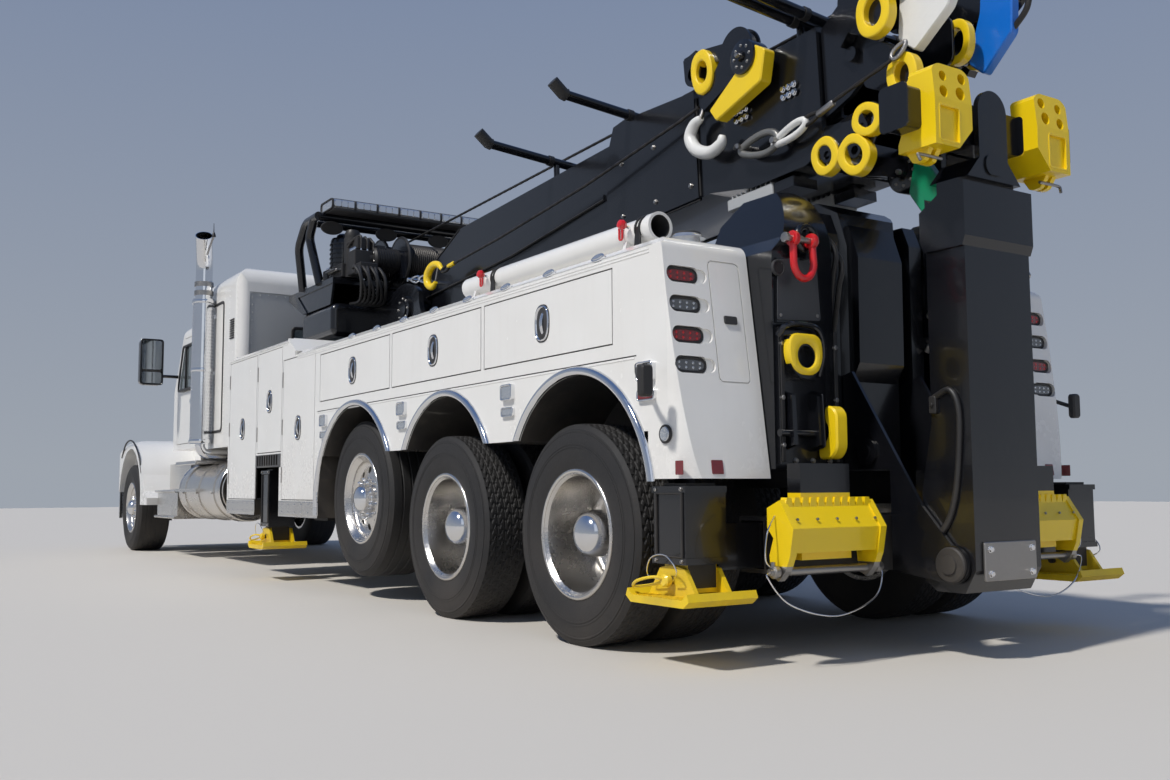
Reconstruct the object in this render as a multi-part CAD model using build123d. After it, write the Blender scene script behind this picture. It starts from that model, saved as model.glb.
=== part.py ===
from build123d import *
import math
import os

os.makedirs("parts", exist_ok=True)

# Driving sizes in mm. X runs forward, Y to the driver's side, Z up; X is measured from the rear axle
# while the pieces are drawn, and every piece is then moved so that the middle of the truck is X = 0
FRONT_END = 11000.0
REAR_END = -1490.0
CENTRE_X = (FRONT_END + REAR_END) / 2

TYRE_R = 512.0
TYRE_W = 280.0
WIDE_R = 520.0
WIDE_W = 380.0
RIM_R = 310.0
DUAL_GAP = 60.0
AXLE_REAR = 0.0
AXLE_SPACING = 1370.0
AXLE_PUSHER = 2740.0
AXLE_FRONT = 10130.0
PUSHER_HUB_Z = 664.0
PUSHER_OUT = 1215.0
STEER_OUT = 1240.0
TYRE_OUT = 1250.0
KINGPIN_Y = 900.0
HAND_HOLES = 10

RAIL_HALF = 430.0
RAIL_BOTTOM = 720.0
RAIL_TOP = 1020.0
RAIL_WEB = 12.0

BODY_HALF = 1280.0
BODY_IN = 820.0
BODY_FRONT = 5700.0
BODY_REAR_LOW = -880.0
BODY_REAR_TOP = -740.0
BODY_LOW = 760.0
BODY_WAIST = 960.0
BODY_TOP = 1780.0
BODY_TOP_FRONT = 1905.0
BODY_CORNER = 65.0
TALL_LOW = 520.0
SKIN = 22.0
DOOR_THICK = 18.0
DOOR_GAP = 7.0
GROOVE = 6.0
DECK_Z = 1240.0
DECK_REAR = -350.0

SLEEPER_REAR = 6150.0
SLEEPER_FRONT = 7600.0
SLEEPER_HALF = 1090.0
SLEEPER_TOP = 2860.0
SLEEPER_WALL = 40.0
CAB_FRONT = 8980.0
CAB_HALF = 1010.0
CAB_TOP = 2560.0
CAB_FLOOR = 1180.0
CAB_WALL = 45.0
HOOD_FRONT = 10760.0
HOOD_SKIN = 28.0

SLEW_X = 3000.0
TURRET_LOW = 1990.0
LUFF_X = 3750.0
LUFF_Z = 2150.0
BOOM_PITCH = 3.0
BOOM_HALF = 300.0
BOOM_DEPTH = 560.0
BOOM_TIP = 4480.0
INNER_HALF = 240.0

FOLD_X = -1325.0
FOLD_Z = 400.0


# Shaping helpers
def block(xs, ys, zs):
    size = Box(xs[1] - xs[0], ys[1] - ys[0], zs[1] - zs[0])
    return Pos((xs[0] + xs[1]) / 2, (ys[0] + ys[1]) / 2, (zs[0] + zs[1]) / 2) * size


def outline(points):
    """A closed outline: (a, b) runs straight to a point, (a, b, c, d) is an arc through a, b to c, d"""
    edges = []
    here = points[0]
    for step in points[1:]:
        if len(step) == 2:
            edges.append(Line(here, step))
        else:
            edges.append(ThreePointArc(here, step[:2], step[2:]))
        here = step[-2:]
    if math.dist(here, points[0]) > 0.01:
        edges.append(Line(here, points[0]))
    return make_face(edges)


def rounded(a, b, r):
    """Points of a rectangle over the spans a and b, with corners of radius r"""
    k = r * (1 - math.sqrt(0.5))
    a0, a1 = a
    b0, b1 = b
    return [(a0 + r, b0), (a1 - r, b0), (a1 - k, b0 + k, a1, b0 + r), (a1, b1 - r),
            (a1 - k, b1 - k, a1 - r, b1), (a0 + r, b1), (a0 + k, b1 - k, a0, b1 - r), (a0, b0 + r),
            (a0 + k, b0 + k, a0 + r, b0)]


def slab_y(points, ys):
    """A flat outline in X and Z, given thickness across the truck"""
    plane = Plane(origin=(0, ys[1], 0), x_dir=(1, 0, 0), z_dir=(0, -1, 0))
    return extrude(plane * outline(points), amount=ys[1] - ys[0], dir=(0, -1, 0))


def slab_x(points, xs):
    """A flat outline in Y and Z, given thickness along the truck"""
    plane = Plane(origin=(xs[0], 0, 0), x_dir=(0, 1, 0), z_dir=(1, 0, 0))
    return extrude(plane * outline(points), amount=xs[1] - xs[0], dir=(1, 0, 0))


def slab_z(points, zs):
    """A flat outline in X and Y, given height"""
    plane = Plane(origin=(0, 0, zs[0]))
    return extrude(plane * outline(points), amount=zs[1] - zs[0], dir=(0, 0, 1))


def rod_x(r, xs, y, z):
    return Pos((xs[0] + xs[1]) / 2, y, z) * Rot(0, 90, 0) * Cylinder(r, xs[1] - xs[0])


def rod_y(r, x, ys, z):
    return Pos(x, (ys[0] + ys[1]) / 2, z) * Rot(90, 0, 0) * Cylinder(r, ys[1] - ys[0])


def rod_z(r, x, y, zs):
    return Pos(x, y, (zs[0] + zs[1]) / 2) * Cylinder(r, zs[1] - zs[0])


def bar(a, b, r):
    """A round bar from point a to point b"""
    start = Vector(*a)
    run = Vector(*b) - start
    plane = Plane(origin=start, z_dir=run)
    return extrude(plane * Circle(r), amount=run.length)


def tube(points, bend, r):
    """A round tube along straight runs joined by bends"""
    path = FilletPolyline(*points, radius=bend)
    start = Plane(origin=path @ 0, z_dir=path % 0)
    return sweep(start * Circle(r), path=path)


def flip(shape):
    return mirror(shape, about=Plane.XZ)


def both(shape):
    return [shape, flip(shape)]


def flat(items):
    out = []
    for item in items:
        if isinstance(item, (list, ShapeList)):
            out += flat(item)
        else:
            out.append(item)
    return out


def save(name, *items):
    solids = []
    for item in flat(items):
        solids += list((Pos(-CENTRE_X, 0, 0) * item).solids())
    shape = solids[0] if len(solids) == 1 else Compound(children=solids)
    export_step(shape, f"parts/{name}.step")


# Wheels: a revolved tyre with bulging walls and a dished rim with hand holes, the axle along Y
def turned(points, x, z):
    """A profile of (y, radius) points, arcs as in outline, turned about the axle at x, z"""
    swapped = [tuple(v for k in range(0, len(p), 2) for v in (p[k + 1], p[k])) for p in points]
    body = revolve(outline(swapped), axis=Axis.Y, revolution_arc=360)
    return Pos(x, 0, z) * body


def tyre(x, z, y_out, width, radius):
    y_in = y_out - width
    bead = 18.0
    shoulder = width * 0.1
    drop = 24.0
    wall = (RIM_R + radius) / 2
    return turned([(y_in + bead, RIM_R - 8), (y_in, wall, y_in + shoulder / 2, radius - drop),
                   (y_in + shoulder, radius - 4), (y_out - shoulder, radius - 4),
                   (y_out - shoulder / 2, radius - drop), (y_out, wall, y_out - bead, RIM_R - 8)], x, z)


def rim(x, z, y_lip, y_back, y_disc, hub_y):
    """Barrel from y_lip back to y_back with the wheel disc at y_disc and the hub out to hub_y"""
    r = RIM_R - 8
    out = turned([(y_back, r), (y_lip, r), (y_lip, r - 22), (y_lip - 14, r - 34), (y_disc + 46, r - 50),
                  (y_disc + 20, r - 62, y_disc + 10, r - 92), (y_disc + 24, 142), (y_disc + 24, 106),
                  (hub_y - 16, 92), (hub_y, 70), (hub_y, 42), (y_disc - 26, 42), (y_disc - 26, r - 60),
                  (y_disc, r - 32), (y_back, r - 22)], x, z)
    for k in range(HAND_HOLES):
        turn = 2 * math.pi * (k + 0.5) / HAND_HOLES
        out -= rod_y(23, x + 192 * math.cos(turn), (y_disc - 60, y_disc + 70), z + 192 * math.sin(turn))
    return out


def wheel_dual(x):
    z = TYRE_R
    inner_out = TYRE_OUT - TYRE_W - DUAL_GAP
    y_disc = TYRE_OUT - TYRE_W - DUAL_GAP / 2
    return [tyre(x, z, TYRE_OUT, TYRE_W, TYRE_R), tyre(x, z, inner_out, TYRE_W, TYRE_R),
            rim(x, z, TYRE_OUT - 15, inner_out - TYRE_W + 15, y_disc, TYRE_OUT - 60)]


def wheel_single(x, z, y_out, radius):
    y_disc = y_out - 95
    return [tyre(x, z, y_out, WIDE_W, radius),
            rim(x, z, y_out - 20, y_out - WIDE_W + 20, y_disc, y_out - 5)]


WHEELS = [
    # name, axle X
    ("drive_rear", AXLE_REAR),
    ("drive_front", AXLE_REAR + AXLE_SPACING),
]
for name, x in WHEELS:
    left = wheel_dual(x)
    save(f"wheel_{name}_left", left)
    save(f"wheel_{name}_right", [flip(s) for s in left])
pusher_wheel = wheel_single(AXLE_PUSHER, PUSHER_HUB_Z, PUSHER_OUT, WIDE_R)
save("wheel_pusher_left", pusher_wheel)
save("wheel_pusher_right", [flip(s) for s in pusher_wheel])
steer_wheel = wheel_single(AXLE_FRONT, WIDE_R, STEER_OUT, WIDE_R)
save("wheel_front_left", steer_wheel)
save("wheel_front_right", [flip(s) for s in steer_wheel])


# Steering knuckles: a stub axle inside the hub and an upright on the kingpin
def knuckle():
    stub = rod_y(36, AXLE_FRONT, (KINGPIN_Y + 15, STEER_OUT - 50), WIDE_R)
    upright = block((AXLE_FRONT - 55, AXLE_FRONT + 55), (KINGPIN_Y - 50, KINGPIN_Y + 25),
                    (WIDE_R - 130, WIDE_R + 130))
    upright -= rod_z(22, AXLE_FRONT, KINGPIN_Y - 12, (WIDE_R - 140, WIDE_R + 140))
    arm = block((AXLE_FRONT - 230, AXLE_FRONT - 40), (KINGPIN_Y - 45, KINGPIN_Y - 10),
                (WIDE_R - 110, WIDE_R - 70))
    return stub + upright + arm


left_knuckle = knuckle()
save("knuckle_left", left_knuckle)
save("knuckle_right", flip(left_knuckle))


# Chassis frame: channel rails, crossmembers and the drive shaft through them
CROSSMEMBERS = (-290, 680, 2050, 3900, 5400, 6700, 7780, 10450)
SHAFT_R = 48.0


def frame():
    ends = (BODY_REAR_TOP + 40, HOOD_FRONT - 40)
    rail = block(ends, (RAIL_HALF - 80, RAIL_HALF), (RAIL_BOTTOM, RAIL_TOP))
    rail -= block((ends[0] - 1, ends[1] + 1), (RAIL_HALF - 81, RAIL_HALF - RAIL_WEB),
                  (RAIL_BOTTOM + RAIL_WEB, RAIL_TOP - RAIL_WEB))
    out = rail + flip(rail)
    for x in CROSSMEMBERS:
        out += block((x - 40, x + 40), (-RAIL_HALF + 5, RAIL_HALF - 5), (RAIL_BOTTOM + 40, RAIL_TOP - 40))
    shaft_z = RAIL_TOP - 150
    out += bar((7900, 0, shaft_z), (CROSSMEMBERS[3], 0, shaft_z), SHAFT_R)
    return out


# Axles: banjo housings on the two drive axles, a lifted pusher with a dropped centre, a forged front beam
def drive_axle(x):
    tube_part = rod_y(62, x, (-1140, 1140), TYRE_R)
    bowl = rod_x(210, (x - 130, x + 150), 0, TYRE_R)
    bowl += Pos(x, 0, TYRE_R) * Sphere(215)
    seats = block((x - 260, x + 260), (RAIL_HALF - 90, RAIL_HALF + 10), (TYRE_R + 40, RAIL_BOTTOM))
    spindle = rod_y(39, x, (-1180, 1180), TYRE_R)
    core = block((x - 300, x + 300), (-560, 560), (0, RAIL_BOTTOM))
    return ((tube_part + bowl + seats + flip(seats)) & core) + spindle


def pusher_axle():
    drop = 190.0
    out = rod_y(39, AXLE_PUSHER, (500, 1190), PUSHER_HUB_Z)
    out += slab_x([(-560, PUSHER_HUB_Z - drop), (-440, PUSHER_HUB_Z - drop - 60),
                   (440, PUSHER_HUB_Z - drop - 60),
                   (700, PUSHER_HUB_Z - 60), (700, PUSHER_HUB_Z + 60), (560, PUSHER_HUB_Z + 60),
                   (400, PUSHER_HUB_Z - drop + 60), (-400, PUSHER_HUB_Z - drop + 60),
                   (-560, PUSHER_HUB_Z + 60), (-700, PUSHER_HUB_Z + 60), (-700, PUSHER_HUB_Z - 60)],
                  (AXLE_PUSHER - 60, AXLE_PUSHER + 60))
    out += rod_y(39, AXLE_PUSHER, (-1190, -500), PUSHER_HUB_Z)
    for y in (-1, 1):
        out += block((AXLE_PUSHER - 50, AXLE_PUSHER + 500), (y * 500 - 35, y * 500 + 35),
                     (PUSHER_HUB_Z - 120, PUSHER_HUB_Z - 50))
        out += block((AXLE_PUSHER + 420, AXLE_PUSHER + 500), (y * 465 - 70, y * 465 + 70),
                     (PUSHER_HUB_Z - 120, RAIL_BOTTOM + 120))
    return out


def front_axle():
    beam = block((AXLE_FRONT - 50, AXLE_FRONT + 50), (-KINGPIN_Y + 95, KINGPIN_Y - 95),
                 (WIDE_R - 130, WIDE_R - 40))
    pin = rod_z(18, AXLE_FRONT, KINGPIN_Y - 12, (WIDE_R - 165, WIDE_R + 165))
    for z in (WIDE_R - 165, WIDE_R + 145):
        pin += block((AXLE_FRONT - 45, AXLE_FRONT + 45), (KINGPIN_Y - 150, KINGPIN_Y + 20), (z, z + 20))
    pin += block((AXLE_FRONT - 45, AXLE_FRONT + 45), (KINGPIN_Y - 150, KINGPIN_Y - 95),
                 (WIDE_R - 165, WIDE_R + 165))
    spring = block((AXLE_FRONT - 700, AXLE_FRONT + 560), (RAIL_HALF - 85, RAIL_HALF + 5),
                   (WIDE_R - 40, WIDE_R + 20))
    for x in (AXLE_FRONT - 680, AXLE_FRONT + 500):
        spring += block((x, x + 50), (RAIL_HALF - 80, RAIL_HALF), (WIDE_R - 20, RAIL_BOTTOM + 20))
    return beam + pin + flip(pin) + spring + flip(spring)


save("chassis_frame", frame(), drive_axle(AXLE_REAR), drive_axle(AXLE_REAR + AXLE_SPACING), pusher_axle(),
     front_axle())

# Engine with gearbox, one plain block each
save("engine_block", block((9050, 10350), (-330, 330), (800, 1420)) + block((7900, 9050), (-230, 230),
                                                                            (640, 1100)))


# Front bumper: a swept-back bar with an inner hollow and two oblong openings in its lower half
def bumper_plan(inset):
    back = HOOD_FRONT + 5
    return [(back, -1240 + inset), (back + 45, -1240 + inset), (FRONT_END - 40 - inset, -1120 + inset / 2,
             FRONT_END - inset, -860), (FRONT_END - inset, 860),
            (FRONT_END - 40 - inset, 1120 - inset / 2, back + 45, 1240 - inset), (back, 1240 - inset)]


def bumper():
    low, high = 380.0, 780.0
    out = slab_z(bumper_plan(0), (low, high))
    out -= slab_z(bumper_plan(30), (low - 1, high - 30))
    for y in (-1, 1):
        out -= slab_x(rounded((y * 620 - 150, y * 620 + 150), (low + 60, low + 170), 50),
                      (FRONT_END - 200, FRONT_END + 5))
        out += block((HOOD_FRONT - 70, FRONT_END - 20), (y * 390 - 35, y * 390 + 35), (600, RAIL_BOTTOM))
    return out


save("front_bumper", bumper())


# Fuel tanks with straps, and the battery and tool boxes that carry the cab steps
TANK_R = 290.0


def tank():
    y = 900.0
    z = 720.0
    shell = rod_x(TANK_R, (6300, 7850), y, z)
    out = fillet(shell.edges().filter_by(GeomType.CIRCLE), 45)
    for x in (6520, 7080, 7620):
        out += rod_x(TANK_R + 8, (x - 35, x + 35), y, z)
    out += block((6300, 7850), (RAIL_HALF + 2, 700), (z - 60, z + 60))
    out += block((6980, 7840), (y - 150, 1235), (z + 270, z + 300))
    out += slab_x([(y + 190, z - 10), (1235, z - 10), (1235, z + 22), (y + 190, z + 22)], (6980, 7840))
    return out


def steps():
    out = slab_x([(560, 420), (1190, 420), (1205, 435, 1190, 450), (1170, 450), (1170, 700), (1190, 700),
                  (1205, 715, 1190, 730), (1040, 730), (1040, 1020), (560, 1020)], (8000, 8950))
    out += block((8000, 8950), (RAIL_HALF + 2, 600), (760, 900))
    return out


save("tanks_and_steps", both(tank()), both(steps()))


# Cab: hollow shell with rounded roof, split windscreen, side door and rear openings
def cab_solid(inset):
    x0 = SLEEPER_FRONT + 15 + inset
    x1 = CAB_FRONT - inset
    top = CAB_TOP - inset
    half = CAB_HALF - inset
    corner = 105.0
    side = [(x0, CAB_FLOOR + inset), (x1, CAB_FLOOR + inset), (x1, 1850), (8600 - inset, top - 110),
            (8540, top - 30, 8400, top), (x0, top)]
    across = [(-half, CAB_FLOOR), (half, CAB_FLOOR), (half, top - corner),
              (half - 31, top - 31, half - corner, top),
              (corner - half, top), (31 - half, top - 31, -half, top - corner)]
    return slab_y(side, (-half, half)) & slab_x(across, (x0 - 1, x1 + 1))


DOOR_X = (7760.0, 8800.0)
DOOR_Z = (1240.0, 2430.0)
SCREEN_Z = (1905.0, 2410.0)


def door_outline(inset):
    x0, x1 = DOOR_X[0] + inset, DOOR_X[1] - inset
    z0, z1 = DOOR_Z[0] + inset, DOOR_Z[1] - inset
    r = 60.0
    k = r * (1 - math.sqrt(0.5))
    return [(x0 + r, z0), (x1, z0), (x1, 1880), (8545 - inset, z1), (x0 + r, z1),
            (x0 + k, z1 - k, x0, z1 - r),
            (x0, z0 + r), (x0 + k, z0 + k, x0 + r, z0)]


def cab():
    out = cab_solid(0) - cab_solid(CAB_WALL)
    out -= slab_y(door_outline(0), (CAB_HALF - 60, CAB_HALF + 10))
    out -= slab_y(door_outline(0), (-CAB_HALF - 10, -CAB_HALF + 60))
    for y in (-1, 1):
        out -= slab_x(rounded((y * 450 - 415, y * 450 + 415), SCREEN_Z, 60), (8500, CAB_FRONT + 50))
    out -= block((SLEEPER_FRONT, SLEEPER_FRONT + 90), (-500, 500), (1300, 2350))
    visor = slab_y([(8590, 2462), (8600, 2470), (8790, 2395), (8785, 2383)], (-880, 880))
    return out + visor


def sleeper_solid(inset):
    x0, x1 = SLEEPER_REAR + inset, SLEEPER_FRONT - inset
    z0, z1 = CAB_FLOOR - 40 + inset, SLEEPER_TOP - inset
    half = SLEEPER_HALF - inset
    r = 160.0
    k = r * (1 - math.sqrt(0.5))
    across = [(-half, z0), (half, z0), (half, z1 - r), (half - k, z1 - k, half - r, z1), (r - half, z1),
              (k - half, z1 - k, -half, z1 - r)]
    side = [(x0, z0), (x1, z0), (x1, z1), (x0 + r, z1), (x0 + k, z1 - k, x0, z1 - r)]
    out = slab_x(across, (x0, x1)) & slab_y(side, (-half, half))
    return out & slab_z(rounded((x0, x1 + r), (-half, half), 90), (z0, z1))


def sleeper():
    """Rounded box with a sunk rear panel, side hatches marked by grooves and a way through to the cab"""
    out = sleeper_solid(0) - sleeper_solid(SLEEPER_WALL)
    out -= slab_x(rounded((-SLEEPER_HALF + 110, SLEEPER_HALF - 110), (1240, 2610), 40),
                  (SLEEPER_REAR - 1, SLEEPER_REAR + 8))
    for y in (-SLEEPER_HALF, SLEEPER_HALF):
        ring = slab_y(rounded((6640, 7480), (1300, 2580), 110), (y - 7, y + 7))
        ring -= slab_y(rounded((6640 + GROOVE, 7480 - GROOVE), (1300 + GROOVE, 2580 - GROOVE), 104),
                       (y - 8, y + 8))
        out -= ring
    out -= block((SLEEPER_FRONT - 60, SLEEPER_FRONT + 20), (-500, 500), (1300, 2350))
    return out


save("sleeper_shell", sleeper())
save("cab_shell", cab())


def cab_glass():
    slope = [(CAB_FRONT - 42, 1912), (CAB_FRONT - 34, 1912), (8640, 2404), (8632, 2404)]
    out = []
    for y in (-1, 1):
        edge = rounded((y * 450 - 412, y * 450 + 412), (SCREEN_Z[0] + 3, SCREEN_Z[1] - 3), 58)
        out.append(slab_y(slope, (y * 450 - 412, y * 450 + 412)) & slab_x(edge, (8500, CAB_FRONT)))
    return out


save("cab_glass", cab_glass())


# Cab doors with a window each, and the mirror on its arm
def cab_door():
    out = slab_y(door_outline(DOOR_GAP), (CAB_HALF - 44, CAB_HALF))
    x0, x1 = DOOR_X[0] + 90, DOOR_X[1] - 110
    window = [(x0, 1830), (x1, 1830), (x1, 1900), (8500, 2340), (x0, 2340)]
    out -= slab_y(window, (CAB_HALF - 60, CAB_HALF + 10))
    out -= slab_y(rounded((x0 - 40, x0 + 90), (1640, 1690), 20), (CAB_HALF - 14, CAB_HALF + 1))
    head = slab_x(rounded((1215, 1465), (1900, 2420), 55), (8650, 8755))
    head = fillet(head.edges().filter_by(Axis.Y), 22)
    arm = bar((8700, CAB_HALF - 20, 2010), (8700, 1230, 2010), 18)
    return out + head + arm


left_door = cab_door()
save("cab_door_left", left_door)
save("cab_door_right", flip(left_door))


# Inside the cab and the sleeper: seats, dash, steering wheel and bunk
def seat(y):
    base = slab_y([(7960, CAB_FLOOR + CAB_WALL), (8380, CAB_FLOOR + CAB_WALL), (8420, 1480), (8470, 1600),
                   (8440, 1650, 8380, 1655), (7980, 1610), (7920, 2260), (7870, 2290, 7820, 2250),
                   (7900, 1560)], (y - 235, y + 235))
    head = slab_y(rounded((7800, 7900), (2270, 2420), 40), (y - 130, y + 130))
    return base + head


def interior():
    dash = slab_y([(8720, CAB_FLOOR + CAB_WALL), (CAB_FRONT - CAB_WALL, CAB_FLOOR + CAB_WALL),
                   (CAB_FRONT - CAB_WALL, 1780), (8790, 1800), (8700, 1740), (8760, 1500)], (-960, 960))
    column = bar((8780, 480, 1620), (8560, 480, 1800), 24)
    wheel = Pos(8560, 480, 1800) * Rot(0, -50, 0) * (Torus(215, 16) + Box(410, 40, 20) + Cylinder(60, 34))
    bunk = block((SLEEPER_REAR + SLEEPER_WALL + 60, SLEEPER_REAR + 900),
                 (SLEEPER_WALL + 60 - SLEEPER_HALF, SLEEPER_HALF - SLEEPER_WALL - 60), (CAB_FLOOR + 4, 1650))
    return [seat(480), seat(-480), dash + column + wheel, bunk]


save("cab_interior", interior())


# Exhaust stacks: bent tips, heat shields and elbows under the sleeper
STACK_X = 7000.0
STACK_Y = 1200.0
STACK_R = 82.0


def stack():
    top = [(STACK_X, STACK_Y, 1180), (STACK_X, STACK_Y, 3020), (STACK_X - 190, STACK_Y + 60, 3250)]
    out = tube(top, 260, STACK_R)
    out -= tube([(STACK_X, STACK_Y, 2700), top[1], (STACK_X - 197, STACK_Y + 62, 3258)], 260, STACK_R - 6)
    out += rod_z(STACK_R + 20, STACK_X, STACK_Y, (1180, 2640))
    out += tube([(STACK_X, STACK_Y, 1190), (STACK_X, STACK_Y, 1080), (STACK_X, 900, 1080)], 90, 46)
    for z in (1900, 2470):
        out += block((STACK_X - 30, STACK_X + 30), (SLEEPER_HALF, STACK_Y - 60), (z - 20, z + 20))
    return out


save("exhaust_stacks", both(stack()))


# Hood tilting forward: lofted top, fenders over the steered wheels, headlamp pods
HOOD_BACK = CAB_FRONT + 14
GRILLE_HALF = 455.0


def hood_section(x, half, low, top, corner):
    k = corner * (1 - math.sqrt(0.5))
    plane = Plane(origin=(x, 0, 0), x_dir=(0, 1, 0), z_dir=(1, 0, 0))
    return plane * outline([(-half, low), (half, low), (half, top - corner),
                            (half - k, top - k, half - corner, top),
                            (corner - half, top), (k - half, top - k, -half, top - corner)])


def hood_loft(inset):
    back = hood_section(HOOD_BACK - (1 if inset else 0), 690 - inset, 1060 - inset, 1850 - inset, 150)
    front = hood_section(HOOD_FRONT + (1 if inset else 0), 480 - inset, 1060 - inset, 1600 - inset, 120)
    return loft([back, front])


def fender():
    """Outer and inner arcs about the wheel, with a crown rounded across and a skirt behind the wheel"""
    outer, inner = 760.0, 655.0
    x, z = AXLE_FRONT, WIDE_R + 60
    out = slab_y([(x - outer - 260, 560), (x - inner, 560), (x - inner, z),
                  (x, z + inner, x + inner - 60, z + 130),
                  (HOOD_FRONT, z + 170), (HOOD_FRONT, 1180), (x + 330, z + outer - 40),
                  (x, z + outer, x - outer + 60, z + 330), (x - outer - 90, z + 140),
                  (x - outer - 260, 640)],
                 (470, 1255))
    crown = slab_x([(470, 540), (1255, 540), (1255, 1190), (1215, 1290, 1110, 1330), (700, 1380),
                    (470, 1420)],
                   (x - outer - 261, HOOD_FRONT + 1))
    out = out & crown
    out -= slab_y([(x - inner + 1, 550), (x + inner - 61, 550), (x + inner - 61, z + 129),
                   (x, z + inner - 1, x - inner + 1, z)], (560, 1200))
    return out


def hood():
    out = hood_loft(0) - hood_loft(HOOD_SKIN)
    wing = fender()
    out += wing
    out += flip(wing)
    out -= hood_loft(HOOD_SKIN) & block((HOOD_BACK, HOOD_FRONT + 1), (-400, 400), (900, 1900))
    pod = slab_x(rounded((770, 1110), (1010, 1210), 50), (10440, HOOD_FRONT + 12))
    out += pod
    return out + flip(pod)


save("hood", hood())


# Grille: an arched surround with upright bars, and the headlamp bezels
def grille():
    low, high = 830.0, 1625.0
    x0, x1 = HOOD_FRONT + 2, HOOD_FRONT + 62
    half = GRILLE_HALF
    out = slab_x([(-half, low), (half, low), (half, high - 110), (0, high, -half, high - 110)], (x0, x1))
    inner = half - 48
    out -= slab_x([(-inner, low + 48), (inner, low + 48), (inner, high - 150),
                   (0, high - 48, -inner, high - 150)],
                  (x0 - 1, x1 + 1))
    bars = 13
    for k in range(bars):
        y = inner * (2 * (k + 1) / (bars + 1) - 1)
        out += block((x0 + 10, x1 - 14), (y - 9, y + 9), (low + 20, high - 60))
    out += block((x0 + 4, x0 + 16), (-inner - 10, inner + 10), (low + 330, low + 350))
    frame = slab_x(rounded((765, 1115), (1005, 1215), 55), (HOOD_FRONT + 13, HOOD_FRONT + 32))
    for y in (855, 1025):
        frame -= rod_x(68, (HOOD_FRONT, HOOD_FRONT + 40), y, 1110)
    return [out, frame, flip(frame)]


save("grille", grille())


# Side bodies: one long hollow locker body a side, arches cut, doors in tables
ARCHES = [
    # arch centre X, arch centre Z, radius, foot of the front leg, foot of the rear leg
    (AXLE_REAR - 60, 650.0, 590.0, 960.0, 750.0),
    (AXLE_REAR + AXLE_SPACING - 60, 650.0, 590.0, 960.0, 960.0),
    (AXLE_PUSHER - 60, 600.0, 680.0, 540.0, 960.0),
]
TALL_DOORS = [
    # name, rear X, front X, bottom Z, top Z
    ("tall_rear", 3440.0, 4175.0, 645.0, 1735.0),
    ("tall_middle", 4200.0, 4830.0, 1020.0, 1850.0),
    ("tall_front", 4860.0, 5660.0, 645.0, 1850.0),
]
UPPER_DOORS = [
    # name, rear X, front X, bottom Z, top Z
    ("upper_rear", -385.0, 825.0, 1350.0, 1695.0),
    ("upper_middle", 855.0, 2050.0, 1350.0, 1695.0),
    ("upper_front", 2080.0, 3340.0, 1350.0, 1695.0),
]
OUTRIGGER_GAP = (4240.0, 4880.0)
LAMP_Z = (1228.0, 1354.0, 1485.0, 1612.0)
LAMP_Y = (1092.0, 1268.0)
RAIL_EDGE = 50.0
TUBE_Y = 1060.0
TUBE_Z = 1895.0
TUBE_R = 62.0
TUBE_REAR = -450.0


def rear_x(z):
    """X of the raked rear face at height z"""
    part = (z - BODY_LOW) / (BODY_TOP - BODY_LOW)
    return BODY_REAR_LOW + part * (BODY_REAR_TOP - BODY_REAR_LOW)


def arch_cuts():
    out = []
    for x, z, r, front, rear in ARCHES:
        out.append(rod_y(r, x, (BODY_IN - 1, BODY_HALF + 1), z))
        out.append(block((x - r, x + r), (BODY_IN - 1, BODY_HALF + 1), (0, z)))
    return out


def body_grooves():
    """Narrow rear door, belt line, louvres over the outrigger and the seam under the top rail"""
    out = []
    rear = slab_x(rounded((870, 1045), (1160, 1690), 25), (-1000, -700))
    rear -= slab_x(rounded((870 + GROOVE, 1045 - GROOVE), (1160 + GROOVE, 1690 - GROOVE), 19), (-1001, -699))
    out.append(rear & slab_y([(-1000, 1100), (rear_x(1100) + 8, 1100), (rear_x(1720) + 8, 1720),
                              (-1000, 1720)],
                             (860, 1060)))
    out.append(block((-560, 3390), (BODY_HALF - 5, BODY_HALF + 1), (1282, 1288)))
    for z, xs in ((BODY_TOP - 36, (-680, 3850)), (BODY_TOP_FRONT - 42, (4060, BODY_FRONT + 1))):
        out.append(block(xs, (BODY_HALF - 6, BODY_HALF + 1), (z - 4, z + 4)))
    for k in range(9):
        x = OUTRIGGER_GAP[0] + 45 + 62 * k
        out.append(slab_y(rounded((x, x + 42), (918, 1002), 8), (BODY_HALF - 14, BODY_HALF + 1)))
    return out


def tool_tube():
    out = rod_x(TUBE_R, (TUBE_REAR, 1400), TUBE_Y, TUBE_Z)
    out += rod_x(TUBE_R + 6, (TUBE_REAR, TUBE_REAR + 50), TUBE_Y, TUBE_Z)
    out -= rod_x(TUBE_R - 8, (TUBE_REAR - 1, 1320), TUBE_Y, TUBE_Z)
    for x in (-250, 1250):
        out += slab_x([(TUBE_Y - 75, BODY_TOP - 2), (TUBE_Y + 75, BODY_TOP - 2), (TUBE_Y + 52, TUBE_Z - 40),
                       (TUBE_Y - 52, TUBE_Z - 40)], (x - 12, x + 12)) - rod_x(TUBE_R - 2, (x - 20, x + 20),
                                                                              TUBE_Y, TUBE_Z)
    return out


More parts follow.
